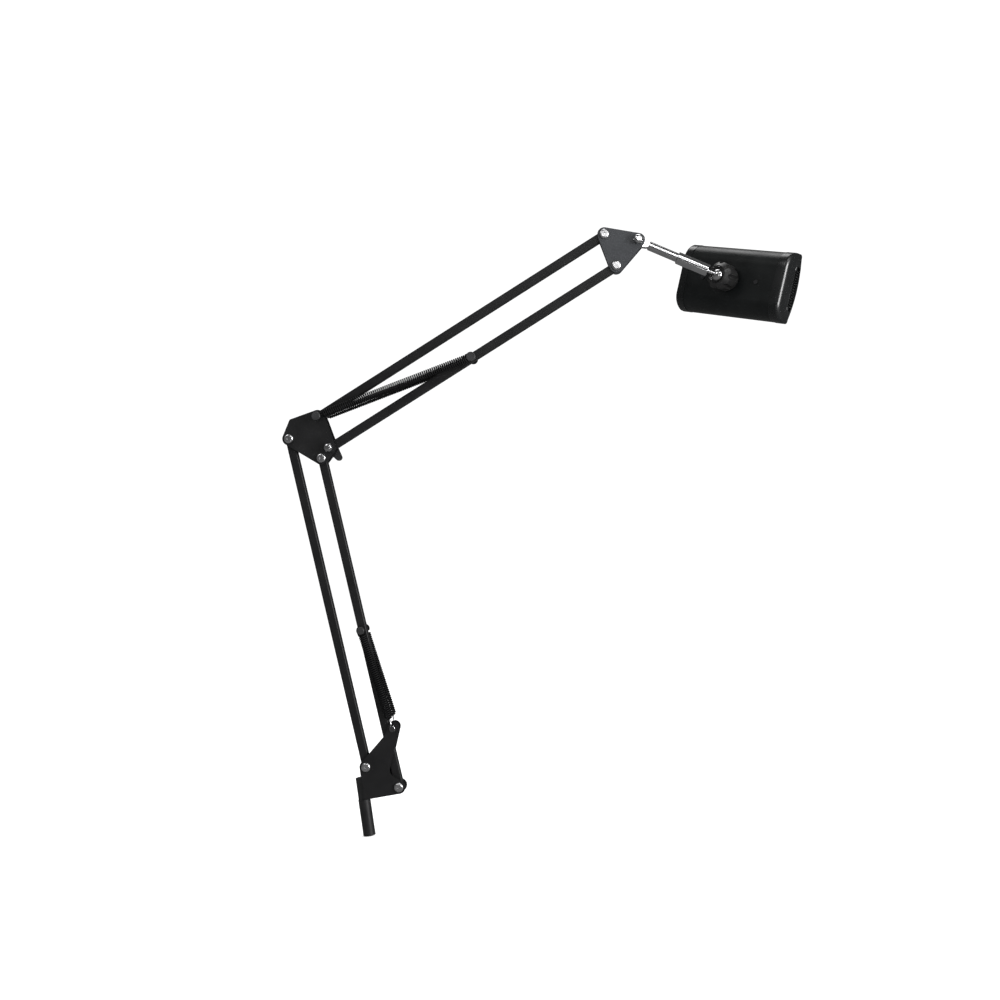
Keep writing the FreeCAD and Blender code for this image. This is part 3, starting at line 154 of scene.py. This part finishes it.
def place_group(tree, group, position, **settings):
    """Puts an effect group into a material with its own values and returns its outputs."""
    node = tree.nodes.new("ShaderNodeGroup")
    node.node_tree = group
    tree.links.new(position, node.inputs["Position"])
    for socket, number in settings.items():
        node.inputs[socket.replace("_", " ")].default_value = number
    return node.outputs


def mix_colours(tree, mask, first, second):
    """Base colour: first where the mask is 0 and second where it is 1."""
    mix = tree.nodes.new("ShaderNodeMix")
    mix.data_type = "RGBA"
    mix.inputs["A"].default_value = (*first, 1.0)
    mix.inputs["B"].default_value = (*second, 1.0)
    tree.links.new(mask, mix.inputs["Factor"])
    return mix.outputs["Result"]


def add_bump(tree, shader, height, strength, distance):
    bump = tree.nodes.new("ShaderNodeBump")
    bump.inputs["Strength"].default_value = strength
    bump.inputs["Distance"].default_value = distance
    tree.links.new(height, bump.inputs["Height"])
    tree.links.new(bump.outputs["Normal"], shader.inputs["Normal"])


def coated_finish(name, dark, light, smooth, rough, grain=2600.0, bump=0.25, worn=0.35, specular=0.5):
    """A thin black coat or moulded skin: pimpled, slightly mottled, and polished where it is handled."""
    material, tree, shader, position = new_material(name)
    coat = place_group(tree, COAT_GRAIN, position, Grain=grain)
    marks = place_group(tree, HANDLING_MARKS, position, Spread=worn)
    tree.links.new(mix_colours(tree, coat["Mottle"], dark, light), shader.inputs["Base Color"])
    base = span_node(tree, coat["Mottle"], 0.0, 1.0, smooth, rough)
    polished = tree.nodes.new("ShaderNodeMath")
    polished.operation = "MULTIPLY_ADD"
    polished.inputs[1].default_value = -0.12
    tree.links.new(marks["Mask"], polished.inputs[0])
    tree.links.new(base, polished.inputs[2])
    tree.links.new(polished.outputs["Value"], shader.inputs["Roughness"])
    shader.inputs["Specular IOR Level"].default_value = specular
    add_bump(tree, shader, coat["Height"], bump, 0.00003)
    return material


def dress(nodes, material):
    """Gives CAD nodes a finish."""
    for name in nodes:
        for index, _ in enumerate(frame["nodes"][name].material_slots):
            frame["nodes"][name].material_slots[index].material = material


def ease_edges(nodes, width, segments=2, angle=32.0):
    """Breaks the sharp edges of CAD nodes with a small rounded bevel that catches the light."""
    for name in nodes:
        piece = frame["nodes"][name]
        weld = piece.modifiers.new("joined", "WELD")
        weld.merge_threshold = 1e-6
        bevel = piece.modifiers.new("eased", "BEVEL")
        bevel.width = width
        bevel.segments = segments
        bevel.limit_method = "ANGLE"
        bevel.angle_limit = math.radians(angle)
        bevel.harden_normals = False
        piece.data.shade_smooth()


POST_COAT = coated_finish(
    "post_coat", (0.005, 0.005, 0.0055), (0.008, 0.008, 0.0085), 0.36, 0.48, worn=0.8, specular=0.4
)
dress(["post"], POST_COAT)

# ------------------------------------------------------------------ base plates, rivets, bolts and nuts
# Two 1.5 mm steel stampings riveted to the post's tongue. Powder coated black before assembly; the
# pivot bolts are bright plated button heads with lock nuts behind, and stay a shade brighter.
PLATE_COAT = coated_finish(
    "plate_coat", (0.0042, 0.0042, 0.0046), (0.0065, 0.0065, 0.007), 0.42, 0.54, specular=0.28
)
dress(["base_plate_right", "base_plate_left", "elbow_plate_right", "elbow_plate_left"], PLATE_COAT)


def make_plating_haze():
    """Plated metal: a slow haze of tone and fine tool marks."""
    group, entry, leave = effect_group("plating_haze", [("Size", 120.0)], ["Haze", "Height"])
    slow = noise_node(group, entry.outputs["Position"], entry.outputs["Size"], 4.0)
    fine = noise_node(group, entry.outputs["Position"], 2200.0, 3.0)
    group.links.new(span_node(group, slow, 0.3, 0.7, 0.0, 1.0), leave.inputs["Haze"])
    group.links.new(fine, leave.inputs["Height"])
    return group


PLATING_HAZE = make_plating_haze()


def metal_finish(name, dull, bright, smooth, rough, bump=0.05):
    """Bare or plated metal, with a faint haze and tool marks."""
    material, tree, shader, position = new_material(name)
    haze = place_group(tree, PLATING_HAZE, position)
    tree.links.new(mix_colours(tree, haze["Haze"], bright, dull), shader.inputs["Base Color"])
    tree.links.new(span_node(tree, haze["Haze"], 0.0, 1.0, smooth, rough), shader.inputs["Roughness"])
    shader.inputs["Metallic"].default_value = 1.0
    add_bump(tree, shader, haze["Height"], bump, 0.00001)
    return material


BOLT_PLATING = metal_finish("bolt_plating", (0.6, 0.6, 0.61), (0.75, 0.75, 0.76), 0.2, 0.32)
BRIGHT_STEEL = metal_finish("bright_steel", (0.4, 0.4, 0.41), (0.52, 0.52, 0.53), 0.25, 0.42, bump=0.15)
BOLTS = ["base_bolts", "elbow_bolts", "yoke_bolts", "tilt_bolt"]
dress(BOLTS + ["base_nuts", "elbow_nuts", "yoke_nuts"], BOLT_PLATING)
dress(["lower_spring_pin", "elbow_spring_pin", "upper_spring_pin", "elbow_lock_bolt"], BRIGHT_STEEL)
dress(["post_rivets"], PLATE_COAT)

# ------------------------------------------------------------------ bars and bushes
# Four square steel tubes, 8.4 mm across, powder coated, with flanged nylon bushes pressed in at every
# pivot so that steel never rubs on steel.
BAR_COAT = coated_finish("bar_coat", (0.004, 0.004, 0.0044), (0.006, 0.006, 0.0064), 0.38, 0.48, specular=0.3)
BARS = ["lower_back_bar", "lower_front_bar", "upper_top_bar", "upper_bottom_bar"]
dress(BARS, BAR_COAT)
BUSH_NYLON = coated_finish("bush_nylon", (0.006, 0.006, 0.006), (0.01, 0.01, 0.01), 0.5, 0.6, grain=1500.0)
dress(["lower_back_bushes", "lower_front_bushes", "upper_top_bushes", "upper_bottom_bushes"], BUSH_NYLON)

# ------------------------------------------------------------------ bobbins and lock lever
# Glass-filled nylon mouldings: bobbins that hold the spring eyes out beside the bars, and the short
# winged lever that locks the elbow.
MOULDED_BLACK = coated_finish(
    "moulded_black", (0.012, 0.012, 0.0125), (0.019, 0.019, 0.02), 0.36, 0.46, grain=1800.0, specular=0.45
)
dress(["lower_spring_bobbins", "elbow_spring_bobbins", "upper_spring_bobbins", "elbow_lever"], MOULDED_BLACK)
dress(["base_spring_studs"], MOULDED_BLACK)

# ------------------------------------------------------------------ yoke plates
# The two triangular plates at the arm's end, stamped like the others but with a smoother satin coat. The faint blue
# cast that the light gives them is painted into the coat's colour.
# painted light: the coat's colours hold the faint blue cast of the light
SATIN_COAT_AND_PAINTED_BLUE_CAST = coated_finish("satin_coat_and_painted_blue_cast", (0.017, 0.0185, 0.0215), (0.021, 0.0228, 0.0262), 0.44, 0.5, bump=0.03)
dress(["yoke_plate_right", "yoke_plate_left"], SATIN_COAT_AND_PAINTED_BLUE_CAST)

# ------------------------------------------------------------------ stem, ball and dome nuts
# Bright chrome on turned brass and steel: the eye on the tilt bolt, the tube, the thicker sleeve with
# its blind end, and the ball on its thin neck. The dome nuts are chromed the same way.
CHROME = metal_finish("chrome", (0.6, 0.6, 0.61), (0.72, 0.72, 0.73), 0.06, 0.13, bump=0.02)
dress(["stem_eye", "stem_tube", "stem_sleeve", "ball_stud", "elbow_dome_nut", "tilt_dome_nut"], CHROME)

# ------------------------------------------------------------------ ball joint
# A black nylon cup clamped round the ball by a notched collar nut, on a round stub on the head's back.
COLLAR_SKIN = coated_finish("collar_skin", (0.005, 0.005, 0.005), (0.008, 0.008, 0.008), 0.3, 0.4, grain=1600.0)
dress(["collar_nut", "socket_stub"], COLLAR_SKIN)
dress(["ball_seat"], BUSH_NYLON)

# ------------------------------------------------------------------ head
# An aluminium extrusion with a satin black finish, closed by moulded caps, with the opal lens below.
HOUSING_COAT = coated_finish(
    "housing_coat", (0.0028, 0.0034, 0.0035), (0.0042, 0.005, 0.0052), 0.34, 0.42, grain=3000.0, bump=0.12,
    worn=0.25, specular=0.3
)
CAP_SKIN = coated_finish("cap_skin", (0.003, 0.0034, 0.0036), (0.0046, 0.005, 0.0053), 0.24, 0.32, grain=1900.0, bump=0.1)
dress(["housing"], HOUSING_COAT)
dress(["power_button"], CAP_SKIN)
dress(["head_screws"], metal_finish("black_oxide", (0.05, 0.05, 0.052), (0.09, 0.09, 0.095), 0.35, 0.5))
LENS_OPAL = coated_finish("lens_opal", (0.5, 0.5, 0.485), (0.56, 0.56, 0.545), 0.35, 0.45, grain=1200.0, bump=0.05)
dress(["diffuser_lens"], LENS_OPAL)
dress(["heat_spreader"], metal_finish("mill_aluminium", (0.6, 0.6, 0.6), (0.75, 0.75, 0.75), 0.35, 0.55))
BOARD_MASK = coated_finish("board_mask", (0.72, 0.73, 0.71), (0.8, 0.81, 0.79), 0.3, 0.4, grain=900.0, bump=0.05)
dress(["led_board", "driver_board"], BOARD_MASK)
dress(["leds"], coated_finish("phosphor", (0.7, 0.55, 0.12), (0.85, 0.7, 0.2), 0.4, 0.5, grain=4000.0))
dress(["power_inlet"], MOULDED_BLACK)

# ------------------------------------------------------------------ end caps
# Two moulded caps that carry the extrusion's section on and close its ends. Their back edge is swept
# over in a wide curve to a flat face with a long vent slot, and ribs stand back inside its front half.
HEAD_ALONG = axes["button_press"]
HEAD_OUT = axes["head_spin"]
HEAD_UP = HEAD_OUT.cross(HEAD_ALONG)
HEAD_BACK = pivots["head_spin"] - HEAD_OUT * 0.0184
HALF_LENGTH = 0.0608
CAP_LENGTH = 0.0108
BACK_HALF = 0.0173
SHOULDER = 0.016
FOOT_DEPTH = 0.0205
FOOT_RADIUS = 0.0025
PROUD = 0.0003
BOW = 0.0047
SLOT_DEPTH = -0.0204
SLOT_HALF = 0.0175
SLOT_RADIUS = 0.004
SWEEP_BACK = 0.0058
SWEEP_FRONT = 0.0018
RIB_PITCH = 0.0024


def section_outline():
    """Points (up, out) and outward directions round the caps' section, as seen along the head."""
    points = []
    foot_up = BACK_HALF + SHOULDER - FOOT_RADIUS
    wheels = (
        (foot_up, -FOOT_DEPTH, FOOT_RADIUS, -80.0, 0.0, 8),
        (BACK_HALF, -SHOULDER, SHOULDER, 0.0, 90.0, 24),
        (-BACK_HALF, -SHOULDER, SHOULDER, 90.0, 180.0, 24),
        (-foot_up, -FOOT_DEPTH, FOOT_RADIUS, 180.0, 260.0, 8),
    )
    for up, out, radius, first, last, count in wheels:
        for step in range(count + 1):
            angle = math.radians(first + (last - first) * step / count)
            across = (math.cos(angle), math.sin(angle))
            reach = radius + PROUD
            points.append((up + across[0] * reach, out + across[1] * reach, *across))
    for step in range(1, 24):
        share = step / 24 * 2 - 1
        up = foot_up * share
        out = -FOOT_DEPTH - FOOT_RADIUS - BOW * (1 - share * share)
        points.append((up, out, 0.25 * share, -1.0))
    return points


def slot_point(up, out):
    """Where a line from the slot's middle towards a point crosses the slot's rounded edge."""
    reach = math.hypot(up, out)
    across = (up / reach, out / reach)
    if abs(across[0]) * SLOT_RADIUS <= abs(across[1]) * SLOT_HALF:
        share = SLOT_RADIUS / abs(across[1])
    else:
        centre = SLOT_HALF * math.copysign(1.0, across[0])
        middle = across[0] * centre
        share = middle + math.sqrt(middle * middle - SLOT_HALF**2 + SLOT_RADIUS**2)
    return across[0] * share, across[1] * share


def cap_rings():
    """Rings (along, up, out) from the seam, over the swept edge, across the face and into the slot."""
    outline = section_outline()
    rings = [[(HALF_LENGTH - CAP_LENGTH, up, out) for up, out, _, _ in outline]]
    for step in range(11):
        turn = math.radians(9.0 * step)
        ring = []
        for up, out, across_up, across_out in outline:
            back = min(max((out + 0.021) / 0.015, 0.0), 1.0)
            sweep = SWEEP_FRONT + (SWEEP_BACK - SWEEP_FRONT) * back * back * (3 - 2 * back)
            inset = sweep * (1 - math.cos(turn))
            along = HALF_LENGTH - sweep * 0.6 * (1 - math.sin(turn))
            ring.append((along, up - across_up * inset, out - across_out * inset))
        rings.append(ring)
    edge = [slot_point(up, out - SLOT_DEPTH) for _, up, out in rings[-1]]
    for rise, grow in ((0.0, 1.12), (0.0003, 1.05), (0.0, 1.0), (-0.0028, 0.99)):
        rings.append([(HALF_LENGTH + rise, up * grow, SLOT_DEPTH + out * grow) for up, out in edge])
    return rings


def make_cap(name, node, side):
    rings = cap_rings()
    count = len(rings[0])
    vertices, faces = [], []
    for ring in rings:
        for along, up, out in ring:
            vertices.append(HEAD_BACK + HEAD_ALONG * along * side + HEAD_UP * up + HEAD_OUT * out)
    for ring in range(len(rings) - 1):
        for step in range(count):
            first, second = ring * count + step, ring * count + (step + 1) % count
            corners = (first, second, second + count, first + count)
            faces.append(corners if side > 0 else corners[::-1])
    floor_of_slot = tuple(range(len(vertices) - count, len(vertices)))
    faces.append(floor_of_slot if side > 0 else floor_of_slot[::-1])
    for rib in range(-7, 8):
        middle = rib * RIB_PITCH
        corners = []
        for along in (HALF_LENGTH - 0.0028, HALF_LENGTH - 0.0012):
            for up in (middle - 0.0005, middle + 0.0005):
                for out in (SLOT_DEPTH - SLOT_RADIUS, SLOT_DEPTH):
                    corners.append(HEAD_BACK + HEAD_ALONG * along * side + HEAD_UP * up + HEAD_OUT * out)
        base = len(vertices)
        vertices += corners
        box = ((0, 1, 3, 2), (4, 6, 7, 5), (0, 4, 5, 1), (2, 3, 7, 6), (0, 2, 6, 4), (1, 5, 7, 3))
        faces += [tuple(base + index for index in (face if side > 0 else face[::-1])) for face in box]
    mesh = bpy.data.meshes.new(name)
    mesh.from_pydata([tuple(vertex) for vertex in vertices], [], faces)
    mesh.materials.append(CAP_SKIN)
    mesh.shade_smooth()
    cap = bpy.data.objects.new(name, mesh)
    bpy.context.scene.collection.objects.link(cap)
    crisp = cap.modifiers.new("crisp", "EDGE_SPLIT")
    crisp.split_angle = math.radians(40.0)
    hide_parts(node)
    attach(cap, "head")


make_cap("cap_right", "end_cap_right", 1)
make_cap("cap_left", "end_cap_left", -1)

# ------------------------------------------------------------------ springs
# Close-wound tension springs of black oiled wire, one pair on the lower arm and one on the upper. Each
# ends in an open eye round its bobbin, and in tapered end turns that hold a separate wire hook.
WIRE = 0.00082
COIL_RADIUS = 0.0034
COIL_PITCH = 0.00205
EYE_RADIUS = 0.0039
STEPS = 20
SIDES = 8


def tube_mesh(name, path, radius, material):
    """A round wire along a path of points, closed at both ends."""
    vertices = []
    faces = []
    along = (path[1] - path[0]).normalized()
    normal = along.orthogonal().normalized()
    for index, point in enumerate(path):
        before = path[max(index - 1, 0)]
        after = path[min(index + 1, len(path) - 1)]
        turned = (after - before).normalized()
        normal = (along.rotation_difference(turned) @ normal).normalized()
        along = turned
        side = along.cross(normal)
        for step in range(SIDES):
            angle = step * math.tau / SIDES
            vertices.append(point + (normal * math.cos(angle) + side * math.sin(angle)) * radius)
    for ring in range(len(path) - 1):
        for step in range(SIDES):
            first, second = ring * SIDES + step, ring * SIDES + (step + 1) % SIDES
            faces.append((first, second, second + SIDES, first + SIDES))
    faces.append(tuple(reversed(range(SIDES))))
    faces.append(tuple(range(len(vertices) - SIDES, len(vertices))))
    mesh = bpy.data.meshes.new(name)
    mesh.from_pydata([tuple(vertex) for vertex in vertices], [], faces)
    mesh.materials.append(material)
    mesh.shade_smooth()
    return mesh


def spring_axes(pin, anchor):
    """The spring's own directions: along it, across the arm, and up from both."""
    along = (anchor - pin).normalized()
    across = Vector((0.0, 1.0, 0.0))
    return along, across, along.cross(across) * -1.0


def helix(start, end, pitch, radius, tip_radius=None):
    """Points (along, across, up) of a coil from start to end that may taper to tip_radius."""
    turns = round((end - start) / pitch)
    count = turns * STEPS
    points = []
    for step in range(count + 1):
        share = step / count
        angle = math.tau * turns * share
        reach = radius if tip_radius is None else radius + (tip_radius - radius) * share * share
        points.append((start + (end - start) * share, reach * math.sin(angle), reach * math.cos(angle)))
    return points


def coil_points(length, tail):
    """The eye round the bobbin, its straight shank, two close turns and the long coil."""
    eye = []
    for step in range(22):
        angle = math.radians(-50.0 - step * 220.0 / 21)
        eye.append((EYE_RADIUS * math.cos(angle), 0.0, EYE_RADIUS * math.sin(angle)))
    close = helix(0.0048, 0.0048 + WIRE * 4.4, WIRE * 2.2, COIL_RADIUS)
    coil = helix(close[-1][0], length - tail, COIL_PITCH, COIL_RADIUS)
    return eye + close + coil[1:]


def hook_points(length, tail, ring_radius):
    """A wire hook: out of the end turns along the middle, then round the stud, left open."""
    points = [(length - tail - 0.002, 0.0, 0.0), (length - ring_radius * 2.1, 0.0, 0.0)]
    for step in range(5):
        share = (step + 1) / 6
        angle = math.radians(180.0 - 60.0 * share)
        reach = ring_radius * (2.1 - 1.1 * share)
        points.append((length + reach * math.cos(angle), 0.0, reach * math.sin(angle) * share))
    for step in range(22):
        angle = math.radians(120.0 - step * 290.0 / 21)
        points.append((length + ring_radius * math.cos(angle), 0.0, ring_radius * math.sin(angle)))
    return points


def in_place(points, pin, anchor, side):
    along, across, up = spring_axes(pin, anchor)
    origin = pin + across * side
    return [origin + along * x + across * y + up * z for x, y, z in points]


def add_piece(name, mesh):
    piece = bpy.data.objects.new(name, mesh)
    bpy.context.scene.collection.objects.link(piece)
    return piece


def joined(name, meshes):
    """One piece from several meshes."""
    whole = bpy.data.meshes.new(name)
    vertices, faces = [], []
    for mesh in meshes:
        shift = len(vertices)
        vertices += [tuple(vertex.co) for vertex in mesh.vertices]
        faces += [tuple(shift + index for index in face.vertices) for face in mesh.polygons]
    whole.from_pydata(vertices, [], faces)
    whole.materials.append(meshes[0].materials[0])
    whole.shade_smooth()
    return add_piece(name, whole)


SPRING_BLACK = coated_finish(
    "spring_black", (0.003, 0.003, 0.0032), (0.005, 0.005, 0.0054), 0.44, 0.52, bump=0.05, specular=0.1
)


def make_pair(arm, pin, anchor, tail, ring_radius, bodies, hook_finish):
    """Both springs of one arm, their end turns and their hooks; the end turns and the hooks each go on the body that
    carries them.
    """
    fixed, sliding, hooks = bodies
    low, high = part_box(f"{arm}_spring_right")
    side = abs(low[1] + high[1]) / 2
    length = (anchor - pin).length
    turns_end = tail + WIRE * 4.4
    ends, wires = [], []
    for word, sign in (("right", -1), ("left", 1)):
        path = in_place(coil_points(length, turns_end), pin, anchor, sign * side)
        coil = add_piece(f"{arm}_coil_{word}", tube_mesh(f"{arm}_coil_{word}", path, WIRE, SPRING_BLACK))
        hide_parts(f"{arm}_spring_{word}")
        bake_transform(coil)
        tight = helix(length - turns_end, length - tail, WIRE * 2.2, COIL_RADIUS, COIL_RADIUS * 0.45)
        ends.append(tube_mesh("tight", in_place(tight, pin, anchor, sign * side), WIRE, SPRING_BLACK))
        bent = hook_points(length, tail, ring_radius)
        wires.append(tube_mesh("bent", in_place(bent, pin, anchor, sign * side), WIRE, hook_finish))
    end_turns = joined(f"{arm}_end_turns", ends)
    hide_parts(f"{arm}_spring_ends")
    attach(end_turns, sliding)
    hook_wires = joined(f"{arm}_hook_wires", wires)
    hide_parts(f"{arm}_spring_hooks")
    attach(hook_wires, hooks)


LOWER_PIN, LOWER_STUD = pivots["lower_spring_swing"], pivots["lower_hook_swing"]
make_pair("lower", LOWER_PIN, LOWER_STUD, 0.01, 0.0022, ("lower_coils", "lower_tail", "lower_hooks"), CHROME)
low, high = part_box("upper_spring_pin")
UPPER_PIN = (Vector(low) + Vector(high)) / 2
ELBOW_PIN = pivots["upper_hook_swing"]
make_pair("upper", UPPER_PIN, ELBOW_PIN, 0.006, 0.0037, ("upper_bottom", "upper_tail", "upper_hooks"), SPRING_BLACK)

# ------------------------------------------------------------------ floor, light and camera
# A pale floor and a white studio round the lamp, kept dark in reflections so that the soft boxes alone
# draw the highlights, and the camera in front of it.
FLOOR_REACH = 8.0
floor_mesh = bpy.data.meshes.new("floor")
floor_mesh.from_pydata(
    [(x * FLOOR_REACH, y * FLOOR_REACH, -0.0005) for x, y in ((-1, -1), (1, -1), (1, 1), (-1, 1))], [], [(0, 1, 2, 3)]
)
floor = bpy.data.objects.new("floor", floor_mesh)
bpy.context.scene.collection.objects.link(floor)
floor_material, floor_tree, floor_shader, floor_position = new_material("pale_floor")
floor_tone = noise_node(floor_tree, floor_position, 3.0, 3.0)
floor_tree.links.new(
    mix_colours(floor_tree, floor_tone, (0.95, 0.95, 0.95), (0.97, 0.97, 0.97)), floor_shader.inputs["Base Color"]
)
floor_shader.inputs["Roughness"].default_value = 0.8
floor_shader.inputs["Specular IOR Level"].default_value = 0.0
seen_floor = floor_tree.nodes.new("ShaderNodeLightPath")
dim_floor = floor_tree.nodes.new("ShaderNodeBsdfDiffuse")
dim_floor.inputs["Color"].default_value = (0.1, 0.1, 0.1, 1.0)
floor_choice = floor_tree.nodes.new("ShaderNodeMixShader")
floor_tree.links.new(seen_floor.outputs["Is Glossy Ray"], floor_choice.inputs["Fac"])
floor_tree.links.new(floor_shader.outputs["BSDF"], floor_choice.inputs[1])
floor_tree.links.new(dim_floor.outputs["BSDF"], floor_choice.inputs[2])
floor_tree.links.new(floor_choice.outputs["Shader"], floor_tree.nodes["Material Output"].inputs["Surface"])
floor_mesh.materials.append(floor_material)

world = bpy.data.worlds.new("studio")
bpy.context.scene.world = world
world.use_nodes = True
sky = world.node_tree
background = sky.nodes["Background"]
plain = sky.nodes.new("ShaderNodeBackground")
plain.inputs["Color"].default_value = (1.0, 1.0, 1.0, 1.0)
plain.inputs["Strength"].default_value = 1.08
background.inputs["Color"].default_value = (1.0, 1.0, 1.0, 1.0)
background.inputs["Strength"].default_value = 0.1
seen = sky.nodes.new("ShaderNodeLightPath")
choice = sky.nodes.new("ShaderNodeMixShader")
sky.links.new(seen.outputs["Is Glossy Ray"], choice.inputs["Fac"])
sky.links.new(plain.outputs["Background"], choice.inputs[1])
sky.links.new(background.outputs["Background"], choice.inputs[2])
sky.links.new(choice.outputs["Shader"], sky.nodes["World Output"].inputs["Surface"])

middle = (cad_low + cad_high) / 2


def soft_light(name, place, size, power):
    """A square soft box at a place relative to the lamp's middle, facing it."""
    lamp = bpy.data.lights.new(name, "AREA")
    lamp.shape = "RECTANGLE"
    lamp.size, lamp.size_y = size
    lamp.energy = power
    holder = bpy.data.objects.new(name, lamp)
    bpy.context.scene.collection.objects.link(holder)
    holder.location = middle + Vector(place)
    holder.rotation_mode = "QUATERNION"
    holder.rotation_quaternion = (-Vector(place)).to_track_quat("-Z", "Y")
    return holder


soft_light("key", (-0.9, -1.3, 1.6), (0.9, 0.9), 8.0)
soft_light("strip", (0.72, -1.11, 1.09), (0.9, 0.14), 3.0)
soft_light("fill", (1.4, -1.0, 0.6), (0.7, 1.2), 5.0)
soft_light("top", (0.3, 0.6, 1.8), (1.2, 0.8), 12.0)
soft_light("front", (0.2, -1.48, 0.58), (0.4, 0.12), 0.9)
soft_light("low_right", (1.21, -0.91, 0.0), (0.6, 0.6), 24.0)
soft_light("low_strip", (0.3, -1.45, -0.25), (0.9, 0.07), 0.9)

CAMERA_PLACE = Vector((0.26335, -1.18845, 0.28674))
CAMERA_AIM = Vector((-0.07423, 0.99711, 0.01592))
CAMERA_ROLL = math.radians(-8.38)
camera_data = bpy.data.cameras.new("camera")
camera_data.sensor_width = 36.0
camera_data.lens = 44.06
camera_data.clip_start = 0.05
camera = bpy.data.objects.new("camera", camera_data)
bpy.context.scene.collection.objects.link(camera)
camera.rotation_mode = "QUATERNION"
camera.location = CAMERA_PLACE
camera.rotation_quaternion = CAMERA_AIM.to_track_quat("-Z", "Y") @ Quaternion((0.0, 0.0, 1.0), CAMERA_ROLL)
bpy.context.scene.camera = camera
bpy.context.scene.view_settings.view_transform = "Standard"
